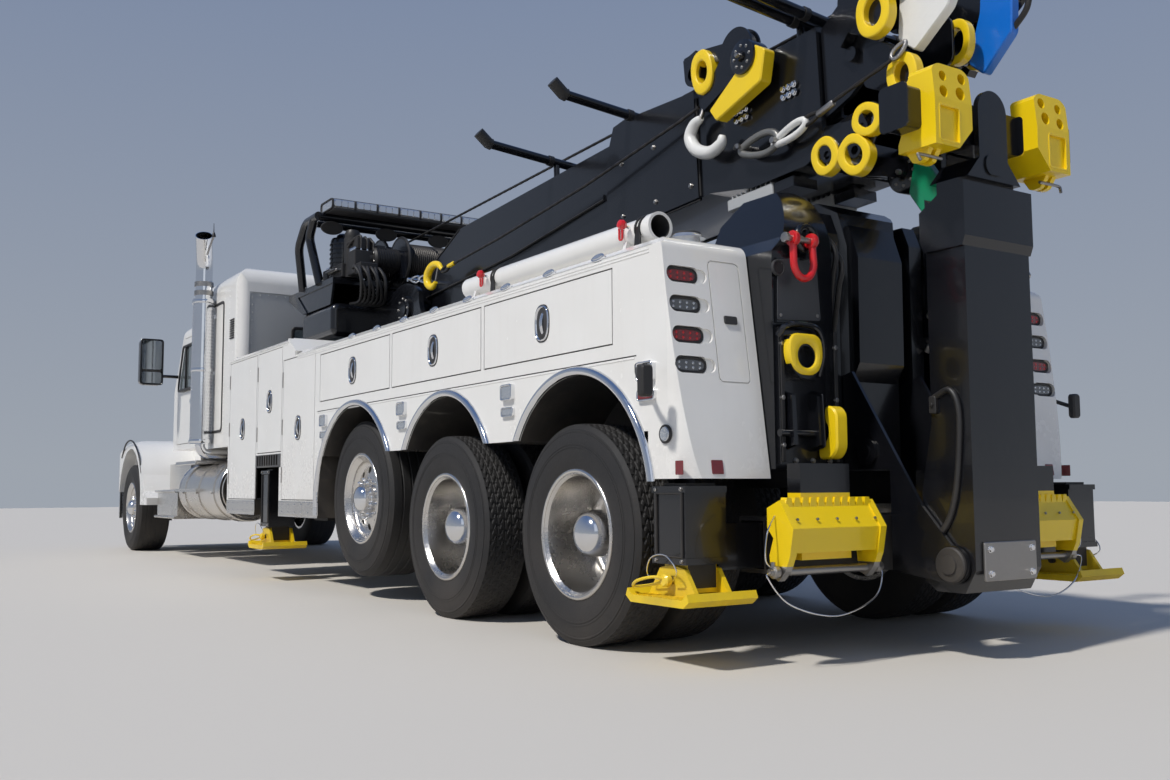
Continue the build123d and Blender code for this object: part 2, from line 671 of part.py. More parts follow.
def body_side():
    side = [(BODY_REAR_LOW, BODY_LOW), (-640, BODY_LOW), (-640, BODY_WAIST), (3330, BODY_WAIST),
            (3330, TALL_LOW), (BODY_FRONT, TALL_LOW), (BODY_FRONT, BODY_TOP_FRONT),
            (4080, BODY_TOP_FRONT), (3880, BODY_TOP), (BODY_REAR_TOP + 60, BODY_TOP),
            (BODY_REAR_TOP + 14, BODY_TOP - 16, rear_x(BODY_TOP - 60), BODY_TOP - 60)]
    out = slab_y(side, (BODY_IN, BODY_HALF))
    corner = slab_z([(BODY_REAR_LOW - 1, BODY_IN - 1), (BODY_FRONT + 1, BODY_IN - 1),
                     (BODY_FRONT + 1, BODY_HALF),
                     (BODY_REAR_LOW + 2.2 * BODY_CORNER, BODY_HALF),
                     (BODY_REAR_LOW + 0.75 * BODY_CORNER, BODY_HALF - 0.35 * BODY_CORNER,
                      BODY_REAR_LOW - 1, BODY_HALF - BODY_CORNER - 30)], (0, BODY_TOP_FRONT + 1))
    out = out & corner
    for z, xs in ((BODY_TOP, (-1000, 3900)), (BODY_TOP_FRONT, (4070, BODY_FRONT + 1))):
        out -= slab_x([(BODY_HALF + 1, z - RAIL_EDGE * 0.7), (BODY_HALF + 1, z + 1),
                       (BODY_HALF - RAIL_EDGE, z + 1),
                       (BODY_HALF - RAIL_EDGE, z)], xs)
    out -= block(OUTRIGGER_GAP, (BODY_IN - 1, BODY_HALF + 1), (TALL_LOW - 1, 905))
    for cut in arch_cuts() + body_grooves():
        out -= cut
    for name, x0, x1, z0, z1 in TALL_DOORS + UPPER_DOORS:
        out -= block((x0, x1), (BODY_HALF - 60, BODY_HALF + 1), (z0, z1))
        out -= block((x0 + 12, x1 - 12), (BODY_IN + SKIN, BODY_HALF + 1), (z0 + 12, z1 - 12))
    for z in LAMP_Z:
        x = rear_x(z)
        out -= slab_x(rounded(LAMP_Y, (z - 36, z + 36), 35), (x - 60, x + 70))
        out -= slab_x(rounded((LAMP_Y[0] - 36, LAMP_Y[1] - 60), (z - 30, z + 30), 29), (x - 60, x + 14))
    return out + tool_tube()


left_body = body_side()
save("body_left", left_body)
save("body_right", flip(left_body))

# Locker doors with a sunk paddle handle each: the tall ones hinge in front, the upper ones at the bottom
HANDLE_W = 74.0
HANDLE_H = 132.0
HANDLE_SINK = 10.0


def locker_door(x0, x1, z0, z1, handle_z):
    out = block((x0 + DOOR_GAP, x1 - DOOR_GAP), (BODY_HALF - DOOR_THICK, BODY_HALF),
                (z0 + DOOR_GAP, z1 - DOOR_GAP))
    x = (x0 + x1) / 2
    spans = (x - HANDLE_W / 2, x + HANDLE_W / 2), (handle_z - HANDLE_H / 2, handle_z + HANDLE_H / 2)
    out -= slab_y(rounded(*spans, HANDLE_W / 2 - 1), (BODY_HALF - HANDLE_SINK, BODY_HALF + 1))
    out += slab_y(rounded((x - 13, x + 13), (handle_z - 50, handle_z + 50), 12),
                  (BODY_HALF - HANDLE_SINK - 1, BODY_HALF - 1))
    return out


for name, x0, x1, z0, z1 in TALL_DOORS + UPPER_DOORS:
    door = locker_door(x0, x1, z0, z1, (z0 + z1) / 2)
    save(f"door_{name}_left", door)
    save(f"door_{name}_right", flip(door))


# Polished flares round the arches: a half-round bead bent over each arch, with straight legs
def flare(x, z, r, front, rear):
    bead = 22.0
    y = BODY_HALF + 1
    face = Pos(x, 0, z) * outline([(r, y), (r + bead, y + bead, r + 2 * bead, y)])
    ring = revolve(face, axis=Axis((x, 0, z), (0, 1, 0)), revolution_arc=360)
    out = ring & block((x - 900, x + 900), (BODY_HALF, BODY_HALF + 60), (z, z + 900))
    for side, foot in ((1, front), (-1, rear)):
        if foot < z:
            out += slab_z([(x + side * r, y), (x + side * (r + bead), y + bead, x + side * (r + 2 * bead),
                                               y)],
                          (foot, z))
    return out


def flares():
    out = []
    for x, z, r, front, rear in ARCHES:
        ring = flare(x, z, r, front, rear)
        low = block((x, x + 900), (BODY_HALF, BODY_HALF + 60), (z - 1, max(front, z)))
        low += block((x - 900, x), (BODY_HALF, BODY_HALF + 60), (z - 1, max(rear, z)))
        out += both(ring - low)
    return out


save("wheel_flares", flares())


# Deck between the side bodies with the outrigger boxes and the slewing ring under it
OUTRIGGERS = [
    # name, centre X, centre Z of the beam, bottom and top of the leg's sleeve
    ("middle", 4560.0, 590.0, 430.0, 880.0),
    ("rear", -830.0, 480.0, 415.0, 730.0),
]
BEAM_H = 190.0
BEAM_W = 130.0
BEAM_SIDE = BEAM_W / 2 + 12
BEAM_PLAY = 6.0
LEG = 150.0
LEG_PLAY = 7.0
BEAM_END = 1260.0
FOOT_HALF_X = 210.0
FOOT_HALF_Y = 178.0


def deck():
    out = block((DECK_REAR, BODY_FRONT), (-BODY_IN, BODY_IN), (DECK_Z, DECK_Z + 40))
    for y in (-1, 1):
        out += block((DECK_REAR, BODY_FRONT), (y * 390 - 40, y * 390 + 40), (RAIL_TOP, DECK_Z))
    out += rod_z(640, SLEW_X, 0, (DECK_Z, 1460))
    out += rod_z(700, SLEW_X, 0, (1460, 1500))
    for k in range(12):
        turn = math.radians(30 * k + 15)
        rib = block((630, 695), (-9, 9), (DECK_Z + 30, 1465))
        out += Pos(SLEW_X, 0, 0) * Rot(0, 0, math.degrees(turn)) * rib
    return out


def outrigger_box(x, z):
    """Two sleeves side by side, one for the left beam and one for the right"""
    half = BEAM_SIDE + BEAM_W / 2 + BEAM_PLAY + 10
    out = block((x - half, x + half), (-BODY_IN + 2, BODY_IN - 2),
                (z - BEAM_H / 2 - 24, z + BEAM_H / 2 + 24))
    for side in (BEAM_SIDE, -BEAM_SIDE):
        reach = BEAM_W / 2 + BEAM_PLAY
        out -= block((x + side - reach, x + side + reach), (-BODY_IN - 5, BODY_IN + 5),
                     (z - BEAM_H / 2 - BEAM_PLAY, z + BEAM_H / 2 + BEAM_PLAY))
    return out


save("body_deck", deck(), [outrigger_box(x, z) for name, x, z, low, top in OUTRIGGERS])


def outrigger_beam(x, z, low, top):
    hole = LEG / 2 + LEG_PLAY
    half = hole + 23
    beam = block((x - BEAM_W / 2, x + BEAM_W / 2), (-700, BEAM_END - 2 * half + 10),
                 (z - BEAM_H / 2, z + BEAM_H / 2))
    sleeve = block((x - half, x + half), (BEAM_END - 2 * half, BEAM_END), (low, top))
    for end in (low, top - 26):
        sleeve += block((x - half - 8, x + half + 8), (BEAM_END - 2 * half, BEAM_END + 6), (end, end + 26))
    sleeve -= block((x - hole, x + hole), (BEAM_END - half - hole, BEAM_END - half + hole),
                    (low - 1, top + 1))
    return beam + sleeve


def outrigger_leg(x, low, top):
    """Square leg on a foot plate with turned-up ends and two pierced gussets"""
    y = BEAM_END - LEG / 2 - LEG_PLAY - 23
    leg = block((x - LEG / 2, x + LEG / 2), (y - LEG / 2, y + LEG / 2), (300, top + 12))
    lip = 26.0
    foot = slab_y([(x - FOOT_HALF_X, 255 + lip), (x - FOOT_HALF_X + 34, 255), (x + FOOT_HALF_X - 34, 255),
                   (x + FOOT_HALF_X, 255 + lip), (x + FOOT_HALF_X - 12, 285 + lip),
                   (x + FOOT_HALF_X - 44, 285),
                   (x - FOOT_HALF_X + 44, 285), (x - FOOT_HALF_X + 12, 285 + lip)],
                  (y - FOOT_HALF_Y, y + FOOT_HALF_Y))
    web = [(x - 160, 284), (x + 160, 284), (x + 82, low - 18), (x + 40, low - 10, x - 40, low - 10),
           (x - 82, low - 18)]
    for side in (-1, 1):
        gusset = slab_y(web, (y + side * (LEG / 2 + 10) - 10, y + side * (LEG / 2 + 10) + 10))
        gusset -= rod_y(17, x, (y - FOOT_HALF_Y, y + FOOT_HALF_Y), 350)
        foot += gusset
    return leg + foot + rod_y(15, x, (y - LEG / 2 - 45, y + LEG / 2 + 45), 350)


for name, x, z, low, top in OUTRIGGERS:
    for side, shift in (("left", BEAM_SIDE), ("right", -BEAM_SIDE)):
        beam = outrigger_beam(x + shift, z, low, top)
        leg = outrigger_leg(x + shift, low, top)
        save(f"outrigger_beam_{name}_{side}", beam if side == "left" else flip(beam))
        save(f"outrigger_leg_{name}_{side}", leg if side == "left" else flip(leg))


# Tail frame: two hunched side columns with towing lugs, and the guide of the underlift column
COLUMN_Y = (460.0, 815.0)
COLUMN_REAR = -905.0
GUIDE_IN = 245.0


def eye_plate(y, z, reach, width, hole, thick):
    """A towing eye standing out behind a column, its hole facing the rear"""
    x = COLUMN_REAR - thick
    plate = slab_x([(y - width / 2, z + width * 0.45), (y - width / 2, z),
                    (y, z - width / 2, y + width / 2, z),
                    (y + width / 2, z + width * 0.45)], (x, COLUMN_REAR + 4))
    return plate - rod_x(hole, (x - 1, COLUMN_REAR + 5), y, z)


def column():
    """Side profile crossed with the rear profile, so that the shoulders slope both ways"""
    side = slab_y([(-560, 800), (COLUMN_REAR, 800), (COLUMN_REAR, 1690), (-865, 1905, -720, 2062),
                   (-560, 2062),
                   (-420, 1940), (-420, 1080)], COLUMN_Y)
    back = slab_x([(COLUMN_Y[0], 800), (COLUMN_Y[1], 800), (COLUMN_Y[1], 1730), (745, 1800), (640, 2040),
                   (500, 2070), (COLUMN_Y[0], 2010)], (-1000, -400))
    out = side & back
    out += slab_x([(520, 1440), (800, 1420), (795, 1700), (560, 1730)], (COLUMN_REAR - 10, COLUMN_REAR + 4))
    for y in (COLUMN_Y[0] + 14, COLUMN_Y[1] - 26):
        out += block((COLUMN_REAR - 22, COLUMN_REAR + 4), (y - 12, y + 12), (820, 1400))
    out += slab_x([(575, 1180), (785, 1180), (800, 1380), (590, 1400)], (COLUMN_REAR - 20, COLUMN_REAR + 4))
    out += eye_plate(685, 1275, 50, 190, 46, 62)
    jaw = slab_y([(COLUMN_REAR + 4, 850), (-975, 850), (-1010, 885, -1010, 930), (-1010, 1030),
                  (-985, 1060, -950, 1060), (-950, 990), (-938, 960, -925, 960), (COLUMN_REAR + 4, 960)],
                 (505, 560))
    out += jaw
    out += slab_y([(COLUMN_REAR + 4, 880), (-970, 900), (-960, 1110), (COLUMN_REAR + 4, 1130)], (600, 622))
    out += slab_y([(COLUMN_REAR + 4, 880), (-970, 900), (-960, 1110), (COLUMN_REAR + 4, 1130)], (745, 767))
    out += rod_y(14, -940, (600, COLUMN_Y[1]), 950)
    shackle = Pos(-950, 655, 1790) * Rot(0, 90, 0) * Torus(52, 17)
    out += block((-960, COLUMN_REAR + 60), (645, 665), (1700, 1850))
    return out + shackle


def tail_frame():
    post = column()
    out = post + flip(post)
    out += block((-480, -420), (-470, 470), (RAIL_TOP, 1900))
    guide = slab_y([(-740, 640), (-430, 640), (-430, 2000), (-700, 2000), (-740, 1900)], (-330, 330))
    guide -= block((-741, -480), (-GUIDE_IN, GUIDE_IN), (639, 2001))
    plate = slab_x([(340, 1450), (455, 1450), (455, 1850), (340, 1880)], (-748, -730))
    return out + guide + plate + flip(plate) + block((-760, -700), (320, 470), (1400, 1450)) + block(
        (-760, -700), (-470, -320), (1400, 1450))


save("tail_frame", tail_frame())


# Lamps: oval tail lamps in the corner recesses, round side lamps, marker pairs and the beacons
def lamps():
    out = []
    for z in LAMP_Z:
        x = rear_x(z) + 22
        out += both(slab_x(rounded((LAMP_Y[0] + 5, LAMP_Y[1] - 5), (z - 31, z + 31), 30), (x, x + 25)))
    beacon = rod_z(60, -560, 1000, (BODY_TOP, BODY_TOP + 41))
    beacon += Pos(-560, 1000, BODY_TOP - 30) * (Sphere(110) & Pos(0, 0, 95) * Box(240, 240, 50))
    out += both(beacon)
    for x in (3230, 1870, 550, -640):
        lamp = slab_y(rounded((x - 55, x + 55), (1180, 1240), 18), (BODY_HALF, BODY_HALF + 16))
        out += both(lamp)
    return out


save("tail_lamps", lamps())


# Turret: slewing table, side cheeks, cover box, winch platform and the bent hoop under the light bar
CHEEK_IN = 400.0
CHEEK_OUT = 440.0
HOOP_Y = 850.0
HOOP_R = 38.0
TABLE_TOP = 1680.0


def turret():
    cheek = slab_y([(2560, TABLE_TOP), (3620, TABLE_TOP), (3660, 1800), (4050, 1930), (4300, TURRET_LOW),
                    (5080, TURRET_LOW), (5440, 2440),
                    (5250, 2560), (4300, 2380), (3960, 2330), (3750, 2360, 3500, 2260),
                    (3380, 2010, 3200, 1960),
                    (2760, 1900)], (CHEEK_IN, CHEEK_OUT))
    out = cheek + flip(cheek)
    cover = slab_x(rounded((-800, 800), (TURRET_LOW + 5, 2280), 70), (4420, 5180))
    out += fillet(cover.edges().filter_by(Axis.Z) + cover.edges().filter_by(Axis.Y), 45)
    out += slab_y([(5060, 2270), (5160, 2270), (5550, 2440), (5550, 2490), (4420, 2490), (4420, 2440),
                   (5300, 2440)],
                  (-800, 800))
    for y in (-790, -260, 250, 780):
        out += slab_y([(4500, 2270), (5100, 2270), (5480, 2450), (4440, 2450)], (y - 10, y + 10))
    for y in (-HOOP_Y, HOOP_Y):
        foot = -1 if y > 0 else 1
        out += tube([(5190, y + foot * 60, 2480), (5150, y, 2860), (4960, y, 3045), (4640, y, 3045)], 170,
                    HOOP_R)
        out += tube([(4760, y + foot * 60, 2480), (4870, y, 2900), (4760, y, 3035)], 90, HOOP_R)
    out += rod_y(HOOP_R, 4660, (-HOOP_Y, HOOP_Y), 3045)
    out += rod_y(HOOP_R, 4900, (-HOOP_Y, HOOP_Y), 3045)
    out += slab_y(rounded((4440, 4720), (3082, 3165), 30), (-800, 800))
    out += rod_y(60, LUFF_X, (-CHEEK_OUT - 30, CHEEK_OUT + 30), LUFF_Z)
    out += rod_y(110, LUFF_X, (CHEEK_OUT - 1, CHEEK_OUT + 22), LUFF_Z)
    out += rod_y(110, LUFF_X, (-CHEEK_OUT - 22, -CHEEK_OUT + 1), LUFF_Z)
    return out


def slewing_table():
    """The turned table on its ring, with the lugs of the lift cylinders on it"""
    out = rod_z(600, SLEW_X, 0, (1506, 1600))
    out += rod_z(690, SLEW_X, 0, (1600, TABLE_TOP))
    for y in (-254, -86, 86, 254):
        out += slab_y([(BARREL_X - 130, TABLE_TOP - 1), (BARREL_X + 130, TABLE_TOP - 1),
                       (BARREL_X + 70, BARREL_Z + 30),
                       (BARREL_X, BARREL_Z + 80, BARREL_X - 70, BARREL_Z + 30)], (y - 8, y + 8))
    return out


# Winches: rope packs between ribbed flanges, with motors, gear ends and valve blocks
WINCHES = [
    # X, Z, rope pack radius
    (4700.0, 2700.0, 150.0),
    (4260.0, 2640.0, 150.0),
]


def winches():
    out = []
    for x, z, r in WINCHES:
        drum = turned([(-280, 0), (-280, r + 60), (-260, r + 60), (-252, r), (252, r), (260, r + 60),
                       (280, r + 60),
                       (280, 0)], x, z)
        for y in (-292, 292):
            drum += slab_y([(x - 150, 2480), (x + 150, 2480), (x + 100, z), (x, z + 100, x - 100, z)],
                           (y - 13, y + 13))
        drum += rod_y(95, x, (300, 400), z)
        drum += rod_y(62, x, (399, 520), z)
        drum += block((x - 60, x + 60), (430, 500), (z + 40, z + 110))
        drum += rod_y(120, x, (-360, -300), z)
        out.append(drum)
    for k in range(6):
        y = -560 + 60 * k
        out.append(block((5080, 5180), (y - 22, y + 22), (2488, 2640)) + rod_z(14, 5130, y, (2639, 2730)))
    return out


# Boom: a boxed base stage and an inner stage, drawn level along -X and then turned about the foot
def pitched(shape):
    return Pos(LUFF_X, 0, LUFF_Z) * Rot(0, BOOM_PITCH, 0) * shape


# Lift cylinders: barrels pivoted on the turret, rods reaching to eyes under the boom
BARREL_X = 3330.0
BARREL_Z = 1795.0
EYE_BACK = 1800.0
EYE_DROP = 140.0
CYL_Y = 170.0

save("turret", turret(), slewing_table(), winches())

UNDER_Z = -60.0
FOOT_TOP = (-700.0, BOOM_DEPTH + UNDER_Z)
HANGERS = (-2060, -2960, -4340, -4420)


def ring_lug(x, y, z, size, lean):
    """A long eye lug hanging from x, y, z, its hole across the truck and its foot leaning to the rear"""
    plate = slab_y([(-size * 0.5, 0), (-size * 0.62, -size), (0, -size * 1.62, size * 0.62, -size),
                    (size * 0.5, 0)],
                   (-22, 22))
    plate -= rod_y(size * 0.36, 0, (-23, 23), -size)
    return Pos(x, y, z) * Rot(0, lean, 0) * plate


def sheave_house(x, y, z, r, lean, reach):
    """Two round cheeks with a grooved sheave between them and a tapered guard below, leaning by lean"""
    out = rod_y(r, 0, (-34, -24), 0) + rod_y(r, 0, (24, 34), 0)
    out += turned([(-24, 0), (-24, r - 18), (-8, r - 34), (8, r - 34), (24, r - 18), (24, 0)], 0, 0)
    out += slab_y([(-r * 0.95, -r * 0.3), (-r * 0.55, -r - reach), (-r * 0.1, -r - reach),
                   (r * 0.5, -r * 0.86)],
                  (-30, 30))
    return Pos(x, y, z) * Rot(0, lean, 0) * out


def hanger(x):
    """A rod across the boom's top, turned up and thickened at its ends"""
    half = 770.0
    z = BOOM_DEPTH + 20
    out = bar((x, -half, z + 70), (x, 0, z), 28) + bar((x, 0, z), (x, half, z + 70), 28)
    for y in (-1, 1):
        out += bar((x, y * half, z + 70), (x, y * (half + 70), z + 130), 34)
    return out


def boom():
    z0, z1 = UNDER_Z, BOOM_DEPTH + UNDER_Z
    out = block((-BOOM_TIP, FOOT_TOP[0]), (-BOOM_HALF, BOOM_HALF), (z0, z1))
    out += slab_y([(FOOT_TOP[0] - 1, z0), (FOOT_TOP[0] - 1, z1), FOOT_TOP, (0, 250), (140, 60), (140, -70),
                   (60, -130)], (-BOOM_HALF, BOOM_HALF))
    out -= rod_y(68, 0, (-BOOM_HALF - 1, BOOM_HALF + 1), 0)
    collar = slab_y([(-2700, z0), (-2700, 400), (-2790, 590), (-2900, 600), (-3560, 535), (-3560, z0)],
                    (-BOOM_HALF - 18, BOOM_HALF + 18))
    tip = slab_y([(-3640, z0 - 1), (-3640, z1 + 20), (-BOOM_TIP, z1 + 20), (-BOOM_TIP, z0 - 20),
                  (-4360, -127),
                  (-3980, -127)], (-BOOM_HALF - 12, BOOM_HALF + 12))
    out += collar + tip
    out -= block((-BOOM_TIP - 1, FOOT_TOP[0] - 20), (-BOOM_HALF + 20, BOOM_HALF - 20), (z0 + 60, z1 - 20))
    for y in (-CYL_Y - 74, -CYL_Y + 74, CYL_Y - 74, CYL_Y + 74):
        out += slab_y([(-EYE_BACK - 170, z0 + 2), (-EYE_BACK + 170, z0 + 2),
                       (-EYE_BACK + 60, -EYE_DROP - 20),
                       (-EYE_BACK, -EYE_DROP - 70, -EYE_BACK - 60, -EYE_DROP - 20)], (y - 8, y + 8))
    for side in (-1, 1):
        y = side * (BOOM_HALF + 12)
        for x in (-3900, -4250):
            for k in range(6):
                a = y + side * 12
                out += rod_y(13, x - 38 * (k % 3), (min(y, a), max(y, a)), 250 + 40 * (k // 3))
        out += slab_y([(-120, 80), (-1500, 100), (-2650, 180), (-2650, 215), (-1500, 140), (-120, 120)],
                      (min(y, y - side * 20), max(y, y - side * 20)))
        y = side * (BOOM_HALF + 62)
        out += ring_lug(-3620, y, 701, 110, 10)
        out += slab_y([(-3565, 706), (-3675, 706), (-3950, 650), (-3950, 540), (-3700, 640), (-3565, 670)],
                      (y - 14, y + 14))
        out += sheave_house(-4000, y, 575, 120, -62, 230)
        out += block((-4080, -3920), (min(side * 290, side * 345), max(side * 290, side * 345)), (380, 600))
        out += block((-4250, -3780), (side * 210 - 80, side * 210 + 80), (-190, -140))
        for x in (-4220, -3860):
            out += block((x - 15, x + 15), (side * 210 - 12, side * 210 + 12), (-141, -60))
        out += slab_y([(-4300, -110), (-4470, -70), (-4740, -170), (-4740, -230), (-4660, -235)],
                      (side * 46 - 8, side * 46 + 8))
        arm = slab_y([(-4420, -60), (-4420, -127), (-4640, -127), (-4740, -60), (-4740, -20), (-4500, 20)],
                     (side * 300 - 12, side * 300 + 12))
        out += arm
        for x, z in ((-4490, -70), (-4660, -100), (-4710, -10)):
            out += ring_lug(x, side * 300, z, 58, 20)
    out += sheave_house(-4700, 0, -200, 95, 20, 0)
    out += rod_y(30, -4700, (-60, 60), -200)
    for x in HANGERS:
        out += hanger(x)
    return pitched(out)


def boom_inner():
    """Telescoping box with the sheave head: cheek plates, two sheaves with guards and the lower rings"""
    z0, z1 = 62.0, 442.0
    out = block((-BOOM_TIP - 60, -1700), (-INNER_HALF, INNER_HALF), (z0, z1))
    out -= block((-BOOM_TIP - 61, -1750), (-INNER_HALF + 18, INNER_HALF - 18), (z0 + 18, z1 - 18))
    cheek = slab_y([(-BOOM_TIP - 8, z0 + 10), (-BOOM_TIP - 8, 505), (-4700, 640), (-4780, 665, -4850, 640),
                    (-4905, 420),
                    (-4760, 195), (-4640, 120)], (BOOM_HALF - 40, BOOM_HALF - 14))
    out += cheek + flip(cheek)
    out += block((-4640, -BOOM_TIP - 8), (-BOOM_HALF + 20, BOOM_HALF - 20), (z1 - 40, z1 + 30))
    for x, z, r in ((-4770, 540, 105), (-4690, 300, 90)):
        out += rod_y(34, x, (-BOOM_HALF - 20, BOOM_HALF + 20), z)
        for y in (-130, 0, 130):
            out += Pos(0, y, 0) * turned([(-34, 0), (-34, r), (-12, r - 22), (12, r - 22), (34, r),
                                          (34, 0)], x, z)
    out += ring_lug(-4740, 190, 250, 80, 20)
    out += ring_lug(-4740, -190, 250, 80, 20)
    out += rod_y(30, -4770, (-470, 350), 540)
    out += sheave_house(-4760, 320, 560, 90, -35, 150)
    out += sheave_house(-4860, -420, 560, 100, -30, 160)
    for y in (-BOOM_HALF - 20, BOOM_HALF + 20):
        out += rod_y(118, -4770, (y - 20, y + 20), 540)
    return pitched(out)


save("boom", boom())
save("boom_inner", boom_inner())

eye = pitched(Pos(-EYE_BACK, 0, -EYE_DROP) * Vertex(0, 0, 0)).center()
rod_run = eye - Vector(BARREL_X, 0, BARREL_Z)
rod_dir = rod_run.normalized()


def lift_barrel(y):
    start = Vector(BARREL_X, y, BARREL_Z)
    stop = start + rod_dir * (rod_run.length - 230)
    out = bar(start, stop, 72)
    out += bar(stop - rod_dir * 60, stop, 82)
    out += rod_y(70, BARREL_X, (y - 70, y + 70), BARREL_Z)
    out -= bar(start + rod_dir * 140, stop + rod_dir * 10, 52)
    return out


def lift_rod(y):
    start = Vector(BARREL_X, y, BARREL_Z)
    out = bar(start + rod_dir * 160, start + rod_dir * (rod_run.length - 40), 46)
    out += rod_y(60, eye.X, (y - 60, y + 60), eye.Z)
    return out


save("lift_barrels", lift_barrel(CYL_Y), lift_barrel(-CYL_Y))
save("lift_rods", lift_rod(CYL_Y), lift_rod(-CYL_Y))

# Underlift: sliding column, folded boom standing up behind it, stinger, crossbar and lifting forks
UNDER_X = (-1425.0, -1225.0)
UNDER_HALF = 215.0
CROSS_Z = 2270.0
FORK_Y = (220.0, 450.0)
BAR_END = 540.0
CLEVIS_HALF = 95.0


def underlift_column():
    """Faceted tower sliding in the guide, with cheek plates down to the fold pin"""
    side = slab_y([(-720, 800), (-490, 800), (-490, 2070), (-600, 2080), (-690, 2020), (-720, 1860)],
                  (-235, 235))
    plan = slab_z([(-490, -235), (-490, 235), (-640, 235), (-720, 165), (-720, -165), (-640, -235)],
                  (799, 2131))
    out = side & plan
    out += slab_y([(-700, 1180), (-770, 1300), (-775, 1800), (-720, 1960), (-600, 1960)], (-150, 150))
    lug = slab_y([(-520, 800), (-520, 1180), (-800, 1250), (-1180, 640), (FOLD_X, FOLD_Z + 80),
                  (FOLD_X - 80, FOLD_Z, FOLD_X, FOLD_Z - 80), (-1010, FOLD_Z - 40), (-1010, 800)],
                 (UNDER_HALF + 6, UNDER_HALF + 24))
    lug += rod_y(62, -880, (UNDER_HALF + 23, UNDER_HALF + 40), 880)
    lug += rod_y(34, -880, (UNDER_HALF + 39, UNDER_HALF + 50), 880)
    out += lug + flip(lug)
    out += rod_y(40, FOLD_X, (-UNDER_HALF - 30, UNDER_HALF + 30), FOLD_Z)
    return out


def underlift_boom():
    """Boxed outer stage with a tapered foot on the fold pin and a wider sloped cap"""
    x0, x1 = UNDER_X
    half = UNDER_HALF
    out = slab_y([(x0, 380), (x0 + 55, 285), (x1, 285), (x1, 1960), (x0, 1760)], (-half, half))
    cap = slab_y([(x0 - 15, 1765), (x0, 1725), (x1, 1725), (x1 + 20, 1765), (x1 + 20, 1900), (x0 + 60, 2000),
                  (x0 - 15, 2000)], (-half - 14, half + 14))
    out += cap
    out -= block((x0 + 30, x1 - 30), (-half + 30, half - 30), (600, 2050))
    out += slab_y([(x1 - 4, 1150), (x1 + 60, 1150), (x1 + 60, 1230), (x1 - 4, 1260)], (-80, 80))
    out += slab_y([(x1 - 2, 285), (x1 + 60, 330), (x1 + 60, 700), (x1 - 2, 1000)], (-half, -half + 24))
    out += slab_y([(x1 - 2, 285), (x1 + 60, 330), (x1 + 60, 700), (x1 - 2, 1000)], (half - 24, half))
    return out - rod_y(47, FOLD_X, (-half - 1, half + 1), FOLD_Z)


def stinger():
    x0, x1 = UNDER_X
    out = block((x0 + 37, x1 - 37), (-UNDER_HALF + 37, UNDER_HALF - 37), (900, 2030))
    out += slab_x([(-178, 2028), (178, 2028), (CLEVIS_HALF, 2120), (-CLEVIS_HALF, 2120)], (x0, x1))
    for x in (x0, x1 - 25):
        out += slab_x([(-CLEVIS_HALF, 2118), (CLEVIS_HALF, 2118), (CLEVIS_HALF, CROSS_Z + 60),
                       (0, CROSS_Z + 60 + CLEVIS_HALF, -CLEVIS_HALF, CROSS_Z + 60)], (x, x + 25))
    out += slab_x(rounded((-62, 62), (2050, 2140), 40), (x0 - 8, x0 + 1))
    out += rod_x(38, (x0 + 20, x1 - 20), 0, CROSS_Z)
    return out


def fork(y0, y1):
    """Cast fork receiver: a tall rounded plate with four pockets and a sunk panel, over a shelf with eyes"""
    x = (UNDER_X[0] + UNDER_X[1]) / 2
    middle = (y0 + y1) / 2
    face = [(y0 + 85, 2105), (y1, 2105), (y1, 2350), (y1 - 10, 2430, y1 - 50, 2450), (y0 + 50, 2450),
            (y0 + 10, 2430, y0, 2350), (y0, 2195)]
    side = [(x - 165, 2100), (x + 30, 2100), (x + 30, 2140), (x - 40, 2300), (x - 30, 2451), (x - 150, 2451),
            (x - 165, 2300)]
    out = slab_x(face, (x - 165, x + 30)) & slab_y(side, (y0, y1))
    for dy, z, r in ((-66, 2405, 24), (52, 2398, 22), (-48, 2338, 28), (56, 2330, 25)):
        out -= rod_x(r, (x - 166, x - 103), middle + dy, z)
    out -= slab_x(rounded((middle - 30, middle + 85), (2125, 2270), 12), (x - 166, x - 153))
    for y in (y1 - 98, y1 - 50):
        out += slab_y([(x - 110, 2107), (x + 10, 2107), (x - 20, 2060), (x - 50, 2052, x - 80, 2060)],
                      (y, y + 26))
    return out


def crossbar():
    """Square tube with capped ends through the clevis, carrying the two fork receivers"""
    x = (UNDER_X[0] + UNDER_X[1]) / 2
    out = slab_y(rounded((x - 95, x + 35), (CROSS_Z - 88, CROSS_Z + 88), 22), (FORK_Y[0] - 2, BAR_END))
    out += slab_y(rounded((x - 103, x + 43), (CROSS_Z - 96, CROSS_Z + 96), 24), (BAR_END, BAR_END + 8))
    out += flip(out)
    out += block((x - 62, x + 62), (-FORK_Y[0] - 10, FORK_Y[0] + 10), (CROSS_Z - 88, CROSS_Z + 88))
    out -= rod_x(44, (x - 70, x + 70), 0, CROSS_Z)
    receiver = fork(*FORK_Y)
    return out + receiver + flip(receiver)


save("underlift_column", underlift_column())
save("underlift_boom", underlift_boom())
save("underlift_stinger", stinger())
save("crossbar", crossbar())


# Spade legs: two sliding legs behind the rear outriggers, with toothed six-sided feet and steel pins
SPADE_Y = (425.0, 955.0)
TEETH = 11


